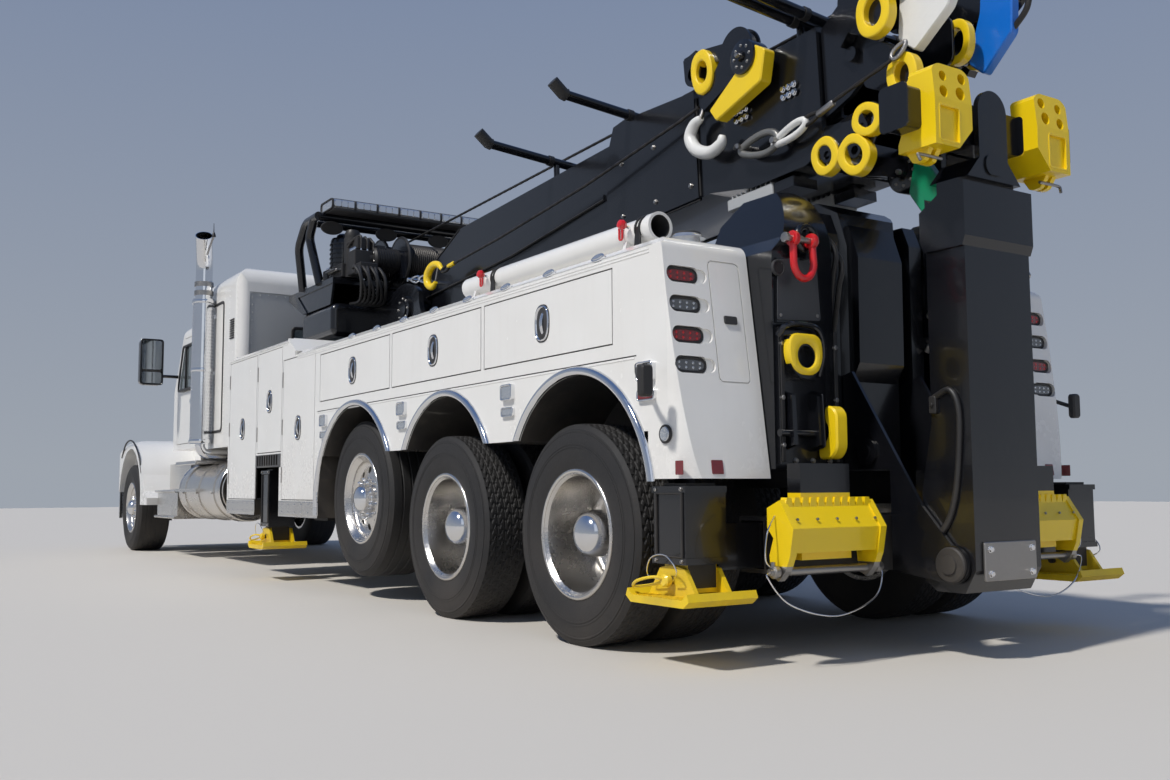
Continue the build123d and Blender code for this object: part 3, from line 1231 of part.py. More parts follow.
def spade():
    leg = block((-1075, -1000), (560, 840), (430, 820))
    ends = [(-1000, 640), (-1075, 672), (-1150, 560), (-1128, 450), (-1100, 390), (-1060, 350), (-1020, 370),
            (-1010, 450), (-1035, 520), (-1000, 560)]
    out = leg
    for y in (SPADE_Y[0], SPADE_Y[1] - 34):
        out += slab_y(ends, (y, y + 34))
    out += slab_y([(-1000, 628), (-1075, 660), (-1140, 560), (-1118, 462), (-1030, 462), (-1030, 500),
                   (-1000, 560)],
                  (SPADE_Y[0] + 30, SPADE_Y[1] - 30))
    pitch = (SPADE_Y[1] - SPADE_Y[0] - 40) / TEETH
    for k in range(TEETH):
        y = SPADE_Y[0] + 20 + pitch * k
        out += slab_x([(y, 640), (y + pitch, 640), (y + pitch * 0.75, 682), (y + pitch * 0.25, 682)],
                      (-1085, -1050))
    out += rod_y(16, -1062, (SPADE_Y[0] - 14, SPADE_Y[1] + 14), 388)
    return out


left_spade = spade()
save("spade_left", left_spade)
save("spade_right", flip(left_spade))
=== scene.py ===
import math
import bmesh
import bpy
import numpy as np
from mathutils import Matrix


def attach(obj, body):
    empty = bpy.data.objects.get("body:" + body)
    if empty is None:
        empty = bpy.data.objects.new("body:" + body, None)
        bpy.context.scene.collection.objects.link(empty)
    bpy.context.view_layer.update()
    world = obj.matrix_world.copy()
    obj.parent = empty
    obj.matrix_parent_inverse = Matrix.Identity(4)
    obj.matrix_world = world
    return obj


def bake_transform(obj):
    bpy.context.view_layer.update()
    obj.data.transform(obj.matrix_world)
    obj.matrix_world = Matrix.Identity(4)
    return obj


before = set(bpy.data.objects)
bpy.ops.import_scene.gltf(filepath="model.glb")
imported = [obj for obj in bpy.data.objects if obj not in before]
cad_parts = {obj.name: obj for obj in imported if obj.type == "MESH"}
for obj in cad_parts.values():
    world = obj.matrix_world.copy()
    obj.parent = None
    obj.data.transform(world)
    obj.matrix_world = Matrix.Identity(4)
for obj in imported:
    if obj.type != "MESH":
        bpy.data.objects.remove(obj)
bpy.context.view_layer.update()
rearAxle = -4.755   # X of the rear axle in the frame; every place below is measured from that axle, in metres
print("frame loaded:", len(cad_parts), "nodes")

# camera and studio
viewer = {"place": (-9.143, 4.032, 0.722), "yaw": -33.05, "pitch": 5.06, "roll": -0.3, "lens": 34.25, "sensor": 36.0}
studio = {"floor": (0.6, 0.57, 0.52), "top": (0.22, 0.38, 0.78), "side": (0.8, 0.88, 1.0), "world": 0.42,
          "sun": 3.1, "sunAngle": 4.0, "sunFrom": (-0.1, 0.62, 0.78), "fill": 60.0}


def setCamera(v):
    yaw, pitch, roll = (math.radians(v[k]) for k in ("yaw", "pitch", "roll"))
    look = np.array([math.cos(yaw) * math.cos(pitch), math.sin(yaw) * math.cos(pitch), math.sin(pitch)])
    side = np.array([math.sin(yaw), -math.cos(yaw), 0.0])
    up = np.cross(side, look)
    across = math.cos(roll) * side + math.sin(roll) * up
    over = -math.sin(roll) * side + math.cos(roll) * up
    turn = np.eye(4)
    turn[:3, 0], turn[:3, 1], turn[:3, 2], turn[:3, 3] = across, over, -look, v["place"]
    lens = bpy.data.cameras.new("camera")
    lens.lens, lens.sensor_width, lens.sensor_fit, lens.clip_end = v["lens"], v["sensor"], "HORIZONTAL", 300.0
    eye = bpy.data.objects.new("camera", lens)
    bpy.context.scene.collection.objects.link(eye)
    eye.matrix_world = Matrix(turn.tolist())
    bpy.context.scene.camera = eye


# Turn of a lamp that stands out in the direction towards and shines back
def aim(towards):
    z = np.array(towards) / np.linalg.norm(towards)
    x = np.cross((0, 0, 1), z)
    x /= np.linalg.norm(x)
    turn = np.eye(4)
    turn[:3, 0], turn[:3, 1], turn[:3, 2] = x, np.cross(z, x), z
    return turn


def addLight(kind, name, place, towards, energy, colour, **more):
    data = bpy.data.lights.new(name, kind)
    data.energy, data.color = energy, colour
    for key, value in more.items():
        setattr(data, key, value)
    lamp = bpy.data.objects.new(name, data)
    turn = aim(towards)
    turn[:3, 3] = place
    lamp.matrix_world = Matrix(turn.tolist())
    bpy.context.scene.collection.objects.link(lamp)


def setStudio(s):
    world = bpy.data.worlds.new("studio")
    bpy.context.scene.world = world
    world.use_nodes = True
    nt = world.node_tree
    back = nt.nodes["Background"]
    where = nt.nodes.new("ShaderNodeTexCoord")
    split = nt.nodes.new("ShaderNodeSeparateXYZ")
    ramp = nt.nodes.new("ShaderNodeValToRGB")
    ramp.color_ramp.elements[0].position, ramp.color_ramp.elements[0].color = 0.02, (*s["side"], 1)
    ramp.color_ramp.elements[1].position, ramp.color_ramp.elements[1].color = 0.75, (*s["top"], 1)
    nt.links.new(where.outputs["Generated"], split.inputs[0])
    nt.links.new(split.outputs["Z"], ramp.inputs["Fac"])
    nt.links.new(ramp.outputs["Color"], back.inputs["Color"])
    back.inputs["Strength"].default_value = s["world"]
    bpy.context.scene.view_settings.view_transform = "Standard"
    addLight("SUN", "keySun", (0, 0, 12), s["sunFrom"], s["sun"], (1.0, 0.965, 0.91),
             angle=math.radians(s["sunAngle"]))
    addLight("AREA", "rearFill", (-13.0, 5.0, 6.0), (-0.8, 0.45, 0.5), s["fill"], (0.95, 0.98, 1.0), size=7.0)


setCamera(viewer)
setStudio(studio)


# shader groups, built once and placed in the materials with their own values
def newGroup(name, inputs, outputs):
    tree = bpy.data.node_groups.new(name, "ShaderNodeTree")
    for label, kind, value in inputs:
        item = tree.interface.new_socket(name=label, in_out="INPUT", socket_type=kind)
        item.default_value = value
    for label, kind in outputs:
        tree.interface.new_socket(name=label, in_out="OUTPUT", socket_type=kind)
    return tree, tree.nodes.new("NodeGroupInput"), tree.nodes.new("NodeGroupOutput")


# One node: settings are its properties, links are (socket, value or output) pairs
def put(tree, kind, links=(), **settings):
    node = tree.nodes.new("ShaderNode" + kind)
    for key, value in settings.items():
        setattr(node, key, value)
    for socket, value in links:
        if hasattr(value, "is_linked"):
            tree.links.new(value, node.inputs[socket])
        else:
            node.inputs[socket].default_value = value
    return node


def math2(tree, operation, a, b=0.0, clamp=False):
    return put(tree, "Math", [(0, a), (1, b)], operation=operation, use_clamp=clamp).outputs[0]


def mixColour(tree, mask, a, b):
    node = put(tree, "Mix", data_type="RGBA")
    for socket, value in ((node.inputs[0], mask), (node.inputs[6], a), (node.inputs[7], b)):
        if hasattr(value, "is_linked"):
            tree.links.new(value, socket)
        else:
            socket.default_value = value if isinstance(value, float) else (*value[:3], 1)
    return node.outputs[2]


def blotch(tree, where, scale, detail=4.0):
    return put(tree, "TexNoise", [("Vector", where), ("Scale", scale), ("Detail", detail)]).outputs["Fac"]


def stretch(tree, where, x, y, z):
    return put(tree, "VectorMath", [(0, where), (1, (x, y, z))], operation="MULTIPLY").outputs[0]


# Road dust: thicker low down and in blotches, with faint rain streaks running down
def buildDust():
    tree, a, b = newGroup("roadDust", [("Paint", "NodeSocketColor", (0.8, 0.8, 0.8, 1)),
                                       ("Gloss", "NodeSocketFloat", 0.25),
                                       ("Dust", "NodeSocketColor", (0.42, 0.35, 0.27, 1)),
                                       ("Amount", "NodeSocketFloat", 0.3), ("Height", "NodeSocketFloat", 1.2),
                                       ("Scale", "NodeSocketFloat", 3.0)],
                          [("Color", "NodeSocketColor"), ("Roughness", "NodeSocketFloat")])
    where = put(tree, "TexCoord").outputs["Object"]
    low = math2(tree, "SUBTRACT", 1.0, math2(tree, "DIVIDE", put(tree, "SeparateXYZ", [(0, where)]).outputs["Z"],
                                             a.outputs["Height"]), True)
    low = math2(tree, "ADD", math2(tree, "MULTIPLY", low, low), 0.14)
    spots = blotch(tree, where, a.outputs["Scale"], 7.0)
    spots = math2(tree, "MULTIPLY", math2(tree, "SUBTRACT", spots, 0.3), 2.4, True)
    rain = blotch(tree, stretch(tree, where, 9.0, 9.0, 0.7), 2.2, 3.0)
    rain = math2(tree, "MULTIPLY", math2(tree, "SUBTRACT", rain, 0.52), 3.0, True)
    fog = math2(tree, "ADD", math2(tree, "MULTIPLY", low, spots), math2(tree, "MULTIPLY", rain, 0.1))
    mask = math2(tree, "MULTIPLY", fog, a.outputs["Amount"], True)
    tree.links.new(mixColour(tree, mask, a.outputs["Paint"], a.outputs["Dust"]), b.inputs["Color"])
    rough = math2(tree, "ADD", a.outputs["Gloss"], math2(tree, "MULTIPLY", mask, 0.5))
    speck = math2(tree, "MULTIPLY", math2(tree, "SUBTRACT", blotch(tree, where, 38.0, 2.0), 0.5), 0.1)
    tree.links.new(math2(tree, "ADD", rough, speck, True), b.inputs["Roughness"])
    return tree


# Height of a fine surface: noise stretched by Stretch, at Scale
def buildGrain():
    tree, a, b = newGroup("fineGrain", [("Stretch", "NodeSocketVector", (1, 1, 1)),
                                        ("Scale", "NodeSocketFloat", 60.0)],
                          [("Height", "NodeSocketFloat"), ("Mask", "NodeSocketFloat")])
    where = put(tree, "TexCoord").outputs["Object"]
    spread = put(tree, "VectorMath", [(0, where), (1, a.outputs["Stretch"])], operation="MULTIPLY").outputs[0]
    fine = blotch(tree, spread, a.outputs["Scale"], 5.0)
    tree.links.new(fine, b.inputs["Height"])
    tree.links.new(math2(tree, "MULTIPLY", math2(tree, "SUBTRACT", fine, 0.45), 5.0, True), b.inputs["Mask"])
    return tree


# 1 inside the box from Low to High, 0 outside
def buildZone():
    tree, a, b = newGroup("boxZone", [("Low", "NodeSocketVector", (0, 0, 0)),
                                      ("High", "NodeSocketVector", (1, 1, 1))], [("Mask", "NodeSocketFloat")])
    where = put(tree, "TexCoord").outputs["Object"]
    least = None
    for pair in ((where, a.outputs["Low"]), (a.outputs["High"], where)):
        gap = put(tree, "VectorMath", [(0, pair[0]), (1, pair[1])], operation="SUBTRACT").outputs[0]
        split = put(tree, "SeparateXYZ", [(0, gap)])
        for k in range(3):
            least = split.outputs[k] if least is None else math2(tree, "MINIMUM", least, split.outputs[k])
    tree.links.new(math2(tree, "GREATER_THAN", least, 0.0), b.inputs["Mask"])
    return tree


# 1 nearer than Radius to the axle through Centre, which lies along Y
def buildWheelZone():
    tree, a, b = newGroup("wheelZone", [("Centre", "NodeSocketVector", (0, 0, 0)),
                                        ("Radius", "NodeSocketFloat", 0.3)], [("Mask", "NodeSocketFloat")])
    where = put(tree, "TexCoord").outputs["Object"]
    gap = put(tree, "VectorMath", [(0, where), (1, a.outputs["Centre"])], operation="SUBTRACT").outputs[0]
    flat = put(tree, "VectorMath", [(0, gap), (1, (1.0, 0.0, 1.0))], operation="MULTIPLY").outputs[0]
    far = put(tree, "VectorMath", [(0, flat)], operation="LENGTH").outputs["Value"]
    tree.links.new(math2(tree, "LESS_THAN", far, a.outputs["Radius"]), b.inputs["Mask"])
    return tree


groups = {"dust": buildDust(), "grain": buildGrain(), "box": buildZone(), "wheel": buildWheelZone()}


# A finish: colour, gloss (its roughness), height and scale of the grain, and what is not as on a plain paint, such as
# the metal, the clear coat, the amount of dust and the height that it reaches up to
def surface(paint, gloss, grain, scale, **more):
    plain = {"metal": 0.0, "coat": 0.0, "amount": 0.1, "height": 1.0, "dust": (0.42, 0.35, 0.27),
             "stretch": (1, 1, 1)}
    return {**plain, "paint": paint, "gloss": gloss, "grain": grain, "scale": scale, **more}


finishes = {
    "whitePaint": surface((0.8, 0.79, 0.76), 0.22, 0.0001, 9.0, coat=0.5, amount=0.5, height=1.5),
    "blackPaint": surface((0.0035, 0.004, 0.006), 0.22, 0.00003, 7.0, coat=0.3, amount=0.12, height=1.5,
                          dust=(0.1, 0.09, 0.08)),
    "satinBlack": surface((0.01, 0.01, 0.011), 0.5, 0.001, 45.0, amount=0.5, height=1.3, dust=(0.13, 0.11, 0.09)),
    "yellowPaint": surface((0.86, 0.6, 0.004), 0.32, 0.0008, 30.0, coat=0.4, amount=0.25),
    "redPaint": surface((0.58, 0.008, 0.012), 0.3, 0.0005, 40.0, coat=0.4),
    "greenPaint": surface((0.0, 0.24, 0.11), 0.32, 0.0005, 40.0, coat=0.3),
    "bluePaint": surface((0.003, 0.15, 0.62), 0.32, 0.0005, 40.0, coat=0.3),
    "guardWhite": surface((0.72, 0.72, 0.7), 0.38, 0.0008, 40.0, coat=0.2, amount=0.2),
    "chrome": surface((0.78, 0.79, 0.81), 0.08, 0.0002, 20.0, metal=1.0, amount=0.35, height=1.2),
    "polished": surface((0.7, 0.68, 0.65), 0.19, 0.0004, 60.0, metal=1.0, amount=0.5, height=1.2,
                        stretch=(1.0, 8.0, 8.0)),
    "bareSteel": surface((0.34, 0.33, 0.32), 0.36, 0.0009, 90.0, metal=1.0, amount=0.4, stretch=(6.0, 1.0, 6.0)),
    "castGrey": surface((0.24, 0.24, 0.23), 0.45, 0.0016, 120.0, metal=0.7, amount=0.2),
    "wireRope": surface((0.035, 0.033, 0.032), 0.42, 0.0008, 300.0, metal=0.6, amount=0.2),
    "tyreRubber": surface((0.011, 0.011, 0.012), 0.66, 0.0016, 70.0, amount=0.45, height=1.3,
                          dust=(0.085, 0.072, 0.06)),
    "hoseRubber": surface((0.012, 0.012, 0.013), 0.45, 0.0008, 150.0, amount=0.2),
    "lensRed": surface((0.16, 0.002, 0.004), 0.12, 0.0012, 160.0, coat=1.0, stretch=(1.0, 1.0, 5.0)),
    "lensAmber": surface((0.72, 0.22, 0.01), 0.12, 0.0012, 160.0, coat=1.0),
    "lensClear": surface((0.58, 0.6, 0.62), 0.1, 0.0018, 90.0, metal=0.75, coat=1.0, stretch=(1.0, 4.0, 1.0)),
    "lensSmoke": surface((0.1, 0.105, 0.11), 0.1, 0.0012, 120.0, metal=0.2, coat=1.0, stretch=(1.0, 1.0, 5.0)),
    "greyBlack": surface((0.045, 0.047, 0.052), 0.42, 0.0005, 30.0, amount=0.3, height=1.3, dust=(0.13, 0.11, 0.09)),
    # grey finish: the work bar's own grey, and painted shade where it stands on the sleeper's white back wall
    "greyPanel": surface((0.5, 0.51, 0.51), 0.34, 0.0006, 14.0, metal=0.25, amount=0.25, height=1.4),
    "darkTrim": surface((0.03, 0.03, 0.032), 0.62, 0.0014, 220.0),
    "mirrorGlass": surface((0.3, 0.34, 0.38), 0.04, 0.0001, 5.0, metal=1.0)}


def shift(p):
    return (p[0] + rearAxle, p[1], p[2])


# A material of one finish, with other finishes inside boxes (low, high, finish) or nearer than a radius to an axle
def makeFinish(name, base, zones=(), wheel=None):
    look = finishes[base]
    mat = bpy.data.materials.new(name)
    mat.use_nodes = True
    tree = mat.node_tree
    shader = tree.nodes["Principled BSDF"]
    colour, gloss, metal = look["paint"], look["gloss"], look["metal"]
    spots = [(groups["box"], [("Low", shift(lo)), ("High", shift(hi))], finishes[f]) for lo, hi, f in zones]
    if wheel:
        spots.append((groups["wheel"], [("Centre", shift(wheel[0])), ("Radius", wheel[1])], finishes[wheel[2]]))
    for group, values, other in spots:
        mask = put(tree, "Group", node_tree=group)
        for label, value in values:
            mask.inputs[label].default_value = value
        mask = mask.outputs["Mask"]
        colour = mixColour(tree, mask, colour, other["paint"])
        if other["gloss"] != look["gloss"] or hasattr(gloss, "is_linked"):
            gloss = put(tree, "Mix", [(0, mask), (2, gloss), (3, other["gloss"])]).outputs[0]
        if other["metal"] != look["metal"] or hasattr(metal, "is_linked"):
            metal = put(tree, "Mix", [(0, mask), (2, metal), (3, other["metal"])]).outputs[0]
    dust = put(tree, "Group", node_tree=groups["dust"])
    for label, value in (("Paint", colour), ("Gloss", gloss), ("Amount", look["amount"]), ("Height", look["height"]),
                         ("Dust", look["dust"])):
        if hasattr(value, "is_linked"):
            tree.links.new(value, dust.inputs[label])
        else:
            dust.inputs[label].default_value = value if isinstance(value, float) else (*value, 1)
    tree.links.new(dust.outputs["Color"], shader.inputs["Base Color"])
    tree.links.new(dust.outputs["Roughness"], shader.inputs["Roughness"])
    if hasattr(metal, "is_linked"):
        tree.links.new(metal, shader.inputs["Metallic"])
    else:
        shader.inputs["Metallic"].default_value = metal
    shader.inputs["Coat Weight"].default_value = look["coat"]
    shader.inputs["Coat Roughness"].default_value = 0.06
    grain = put(tree, "Group", node_tree=groups["grain"])
    grain.inputs["Scale"].default_value = look["scale"]
    grain.inputs["Stretch"].default_value = look["stretch"]
    bump = put(tree, "Bump", [("Height", grain.outputs["Height"]), ("Distance", look["grain"]), ("Strength", 0.9)])
    tree.links.new(bump.outputs["Normal"], shader.inputs["Normal"])
    return mat


# Window glass: a tinted sheet with faint dust specks in its gloss
def makeGlass(name, tint, through):
    mat = bpy.data.materials.new(name)
    mat.use_nodes = True
    tree = mat.node_tree
    shader = tree.nodes["Principled BSDF"]
    dust = put(tree, "Group", node_tree=groups["dust"])
    dust.inputs["Paint"].default_value = (*tint, 1)
    dust.inputs["Gloss"].default_value, dust.inputs["Amount"].default_value = 0.03, 0.12
    tree.links.new(dust.outputs["Color"], shader.inputs["Base Color"])
    tree.links.new(dust.outputs["Roughness"], shader.inputs["Roughness"])
    shader.inputs["Transmission Weight"].default_value = through
    shader.inputs["IOR"].default_value = 1.45
    return mat


mats = {name: makeFinish(name, name) for name in finishes}
mats["glass"] = makeGlass("windowGlass", (0.45, 0.52, 0.55), 0.85)


# The same box on both sides of the truck
def everywhere(y0, y1, x0, x1, z0, z1, finish):
    return [((x0, y0, z0), (x1, y1, z1), finish), ((x0, -y1, z0), (x1, -y0, z1), finish)]


# boxes of the body's left side that aren't white: rails of the outrigger, the sill and the soffits of the arches
bodyZones = [
    ((4.2, 0.7, 0.9), (4.9, 1.3, 1.008), "satinBlack"), ((3.3, 1.26, 0.4), (5.71, 1.29, 0.64), "polished"),
    ((-0.7, 0.8, 0.4), (5.72, 1.277, 0.755), "satinBlack"), ((-0.7, 0.8, 0.75), (3.42, 1.277, 1.3), "satinBlack"),
    ((3.3, 0.8, 0.4), (5.72, 1.24, 1.14), "satinBlack")]
# finishes of the construction's own nodes: prefix, finish, and boxes of it with another finish
nodeFinishes = [
    ("body_left", "whitePaint", bodyZones),
    ("body_right", "whitePaint", [((x0, -y1, z0), (x1, -y0, z1), other)
                                  for (x0, y0, z0), (x1, y1, z1), other in bodyZones]),
    ("door_", "whitePaint", []),
    ("cab_door", "whitePaint", everywhere(1.04, 1.5, 8.5, 8.8, 1.85, 2.45, "blackPaint")),
    # painted shade: the sleeper's white back wall is given the grey finish, darker than its paint
    ("sleeper_shell", "whitePaint", [((6.14, -0.985, 1.235), (6.166, 0.985, 2.615), "greyPanel")]),
    ("cab_shell", "whitePaint", []), ("hood", "whitePaint", []), ("grille", "chrome", []),
    ("front_bumper", "chrome", []), ("exhaust_stacks", "chrome", []), ("wheel_flares", "chrome", []),
    ("tanks_and_steps", "polished", []), ("cab_interior", "darkTrim", []), ("engine_block", "castGrey", []),
    ("knuckle", "satinBlack", []), ("chassis_frame", "satinBlack", []), ("body_deck", "satinBlack", []),
    ("lift_rods", "chrome", []),
    ("tail_lamps", "lensRed", everywhere(0.9, 1.2, -0.7, -0.4, 1.78, 2.0, "lensClear")
     + [((0.4, -1.4, 1.1), (4.0, 1.4, 1.3), "lensAmber")]),
    ("outrigger_leg", "satinBlack", [((-2.0, -1.4, 0.2), (6.0, 1.4, 0.318), "yellowPaint")]
     + everywhere(1.058, 1.082, -2.0, 6.0, 0.28, 0.42, "yellowPaint")
     + everywhere(1.228, 1.252, -2.0, 6.0, 0.28, 0.42, "yellowPaint")),
    ("spade", "blackPaint", [((-1.3, -1.1, 0.405), (-0.9, 1.1, 0.7), "yellowPaint"),
                             ((-1.3, -1.1, 0.34), (-1.0, 1.1, 0.41), "bareSteel")]),
    ("crossbar", "blackPaint", everywhere(0.219, 0.451, -1.6, -1.1, 2.0, 2.5, "yellowPaint")),
    ("turret", "blackPaint", [((4.4, -0.85, 3.084), (4.75, 0.85, 3.2), "lensClear")])]
tyres = {"grooves": 4, "blocks": 56, "treadDepth": 0.0075, "ribs": ((0.55, 0.0025), (0.62, 0.0022), (0.93, 0.003)),
         "rimRadius": 0.302, "lipRadius": 0.3045, "lugs": 10, "lugRing": 0.128, "lugSize": 0.015, "frontSink": 0.003}
wheelRows = [
    # wheel, axle X, hub Z, outer face Y, width, radius, driven blocks in the tread
    ("drive_rear", 0.0, 0.512, 1.25, 0.28, 0.512, True), ("drive_rear", 0.0, 0.512, 0.91, 0.28, 0.512, True),
    ("drive_front", 1.37, 0.512, 1.25, 0.28, 0.512, True), ("drive_front", 1.37, 0.512, 0.91, 0.28, 0.512, True),
    ("pusher", 2.74, 0.664, 1.215, 0.38, 0.52, False), ("front", 10.13, 0.52, 1.24, 0.38, 0.52, False)]
wheelPlaces = {row[0]: row[1:3] for row in wheelRows}
for name, node in sorted(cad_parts.items()):
    finish = mats["blackPaint"]
    if name == "cab_glass":
        finish = mats["glass"]
    elif name.startswith("wheel_") and name != "wheel_flares":
        x, z = wheelPlaces[name[6:].rsplit("_", 1)[0]]
        finish = makeFinish("finish_" + name, "tyreRubber", wheel=((x, 0.0, z), tyres["lipRadius"], "polished"))
    else:
        for prefix, base, zones in nodeFinishes:
            if name.startswith(prefix):
                finish = makeFinish("finish_" + name, base, zones)
                break
    for part in node.material_slots:
        part.material = finish
print("finishes:", len(bpy.data.materials))


# surfaces: every piece is a set of points worked out as whole arrays, and faces over them
def gridFaces(rows, columns, closeRows, closeColumns, start=0):
    a = np.arange(rows if closeRows else rows - 1)[:, None]
    b = np.arange(columns if closeColumns else columns - 1)[None, :]
    up, over = (a + 1) % rows, (b + 1) % columns
    quads = np.stack([a * columns + b, a * columns + over, up * columns + over, up * columns + b], axis=-1)
    return (quads.reshape(-1, 4) + start).tolist()


def join(*parts):
    spots, faces, count = [], [], 0
    for p, f in parts:
        spots.append(p)
        faces += [[v + count for v in face] for face in f]
        count += len(p)
    return np.concatenate(spots), faces


def mirrored(part):
    return part[0] * np.array([1.0, -1.0, 1.0]), [face[::-1] for face in part[1]]


# That many angles round a circle
def around(count):
    return np.linspace(0, 2 * math.pi, count, endpoint=False)


# The rows of v brought to length 1
def unit(v):
    return v / (np.linalg.norm(v, axis=1)[:, None] + 1e-12)


onAxis = 1e-6   # radius of a point that closes a turned form on its axis
facings = {"x": (1, 0, 0), "-x": (-1, 0, 0), "y": (0, 1, 0), "z": (0, 0, 1)}


# The axis, given by letter or as a direction, and two directions across it
def frameOf(axis):
    axis = facings.get(axis, axis)
    axis = np.array(axis, float) / np.linalg.norm(axis)
    side = np.cross(axis, (0, 0, 1.0)) if abs(axis[2]) < 0.9 else np.cross(axis, (0, 1.0, 0))
    side /= np.linalg.norm(side)
    return axis, side, np.cross(side, axis)


# Rows of (along the axis, radius) swept round the axis; wave(angle, along) may lift the radius
def turned(profile, centre, axis="y", count=40, wave=None):
    profile = np.array(profile, float)
    profile[:, 1] = np.maximum(profile[:, 1], onAxis)
    axis, side, up = frameOf(axis)
    angle = around(count)[:, None]
    along, radius = profile[None, :, 0], np.repeat(profile[None, :, 1], count, axis=0)
    if wave is not None:
        radius = radius + wave(angle, np.arange(len(profile))[None, :])
    spots = (np.array(centre) + along[..., None] * axis + (radius * np.cos(angle))[..., None] * side
             + (radius * np.sin(angle))[..., None] * up)
    return spots.reshape(-1, 3), gridFaces(count, len(profile), True, False)


# The rows closed by a flat end before them, and by one behind them unless the last radius is 0
def capped(*rows):
    return [(rows[0][0], 0), *rows] + [(rows[-1][0], 0)] * (rows[-1][1] > 0)


# A circle carried along path; lobes give a rope its strands, turning once in pitch metres
def tube(path, radius, count=10, closed=False, lobes=0, pitch=0.1):
    path = np.array(path, float)
    radius = np.broadcast_to(np.array(radius, float), (len(path),)).copy()
    if closed:
        ahead = np.roll(path, -1, 0) - np.roll(path, 1, 0)
    else:
        ahead = np.gradient(path, axis=0)
        path = np.concatenate([path[:1], path, path[-1:]])
        ahead = np.concatenate([ahead[:1], ahead, ahead[-1:]])
        radius = np.concatenate([[onAxis], radius, [onAxis]])
    ahead = unit(ahead)
    spread = np.abs(ahead).mean(axis=0)
    up = np.eye(3)[int(np.argmin(spread))]
    side = unit(np.cross(ahead, up))
    over = np.cross(side, ahead)
    angle = around(count)[None, :]
    r = radius[:, None] * np.ones_like(angle)
    if lobes:
        run = np.concatenate([[0], np.cumsum(np.linalg.norm(np.diff(path, axis=0), axis=1))])[:, None]
        r = r * (0.8 + 0.2 * np.abs(np.cos(lobes / 2 * (angle - 2 * math.pi * run / pitch))))
    spots = (path[:, None] + (r * np.cos(angle))[..., None] * side[:, None]
             + (r * np.sin(angle))[..., None] * over[:, None])
    return spots.reshape(-1, 3), gridFaces(len(path), count, closed, True)


def line(a, b, n=2):
    return np.linspace(0, 1, n)[:, None] * (np.array(b, float) - np.array(a, float)) + np.array(a, float)


# Catmull-Rom curve through the points, n steps to a span
def smooth(points, n=8):
    p = np.array(points, float)
    p = np.concatenate([2 * p[:1] - p[1:2], p, 2 * p[-1:] - p[-2:-1]])
    t = np.linspace(0, 1, n, endpoint=False)[None, :, None]
    a, b, c, d = (p[k:len(p) - 3 + k, None] for k in range(4))
    curve = 0.5 * (2 * b + (c - a) * t + (2 * a - 5 * b + 4 * c - d) * t ** 2 + (3 * b - a - 3 * c + d) * t ** 3)
    return np.concatenate([curve.reshape(-1, 3), p[-2:-1]])


def rod(a, b, radius, count=10, steps=3):
    return tube(line(a, b, steps), radius, count)


def hose(points, radius, count=10, steps=6):
    return tube(smooth(points, steps), radius, count)


# A closed outline with each corner replaced by a curve that starts reach before it
def rounded(points, reach, n=5):
    p = np.array(points, float)
    back, on = np.roll(p, 1, 0) - p, np.roll(p, -1, 0) - p
    back *= np.minimum(reach / np.linalg.norm(back, axis=1), 0.5)[:, None]
    on *= np.minimum(reach / np.linalg.norm(on, axis=1), 0.5)[:, None]
    t = np.linspace(0, 1, n)[None, :, None]
    return (p[:, None] + back[:, None] * (1 - t) ** 2 + on[:, None] * t ** 2).reshape(-1, 2)


# A rectangle's outline with rounded corners
def panel(a0, a1, b0, b1, reach, n=5):
    return rounded([(a0, b0), (a1, b0), (a1, b1), (a0, b1)], reach, n)


# Points of a superellipse about (a, b)
def oval(a, b, width, height, n=32, power=2.0):
    t = around(n)
    c, s = np.cos(t), np.sin(t)
    return np.stack([a + width / 2 * np.sign(c) * np.abs(c) ** (2 / power),
                     b + height / 2 * np.sign(s) * np.abs(s) ** (2 / power)], axis=1)


# Flat points put into space: facing x takes (y, z), facing y takes (x, z), facing z takes (x, y)
def lay(flat, depth, facing):
    depth = np.broadcast_to(depth, flat.shape[:-1])
    order = {"x": (depth, flat[..., 0], flat[..., 1]), "y": (flat[..., 0], depth, flat[..., 1]),
             "z": (flat[..., 0], flat[..., 1], depth)}
    return np.stack(order[facing], axis=-1)


# Twice the outline's area, below 0 where it runs clockwise
def doubleArea(flat):
    return np.sum(flat[:, 0] * np.roll(flat[:, 1], -1) - flat[:, 1] * np.roll(flat[:, 0], -1))


# The outline moved inwards by by: each corner goes along the mean of its two edges' normals
def inset(flat, by):
    on, back = np.roll(flat, -1, 0) - flat, flat - np.roll(flat, 1, 0)
    normal = unit(on) + unit(back)
    normal = np.stack([-normal[:, 1], normal[:, 0]], axis=1)
    return flat + unit(normal) * by * (1 if doubleArea(flat) > 0 else -1)


# An outline given thickness from low to high, its rims rounded by edge
def plate(flat, low, high, facing, edge=0.003):
    flat = np.array(flat, float)
    inner = inset(flat, edge)
    rings = np.stack([lay(inner, low, facing), lay(flat, low + edge, facing), lay(flat, high - edge, facing),
                      lay(inner, high, facing)])
    n = len(flat)
    faces = gridFaces(4, n, False, True)
    faces += [list(range(n))[::-1], list(range(3 * n, 4 * n))]
    return rings.reshape(-1, 3), faces


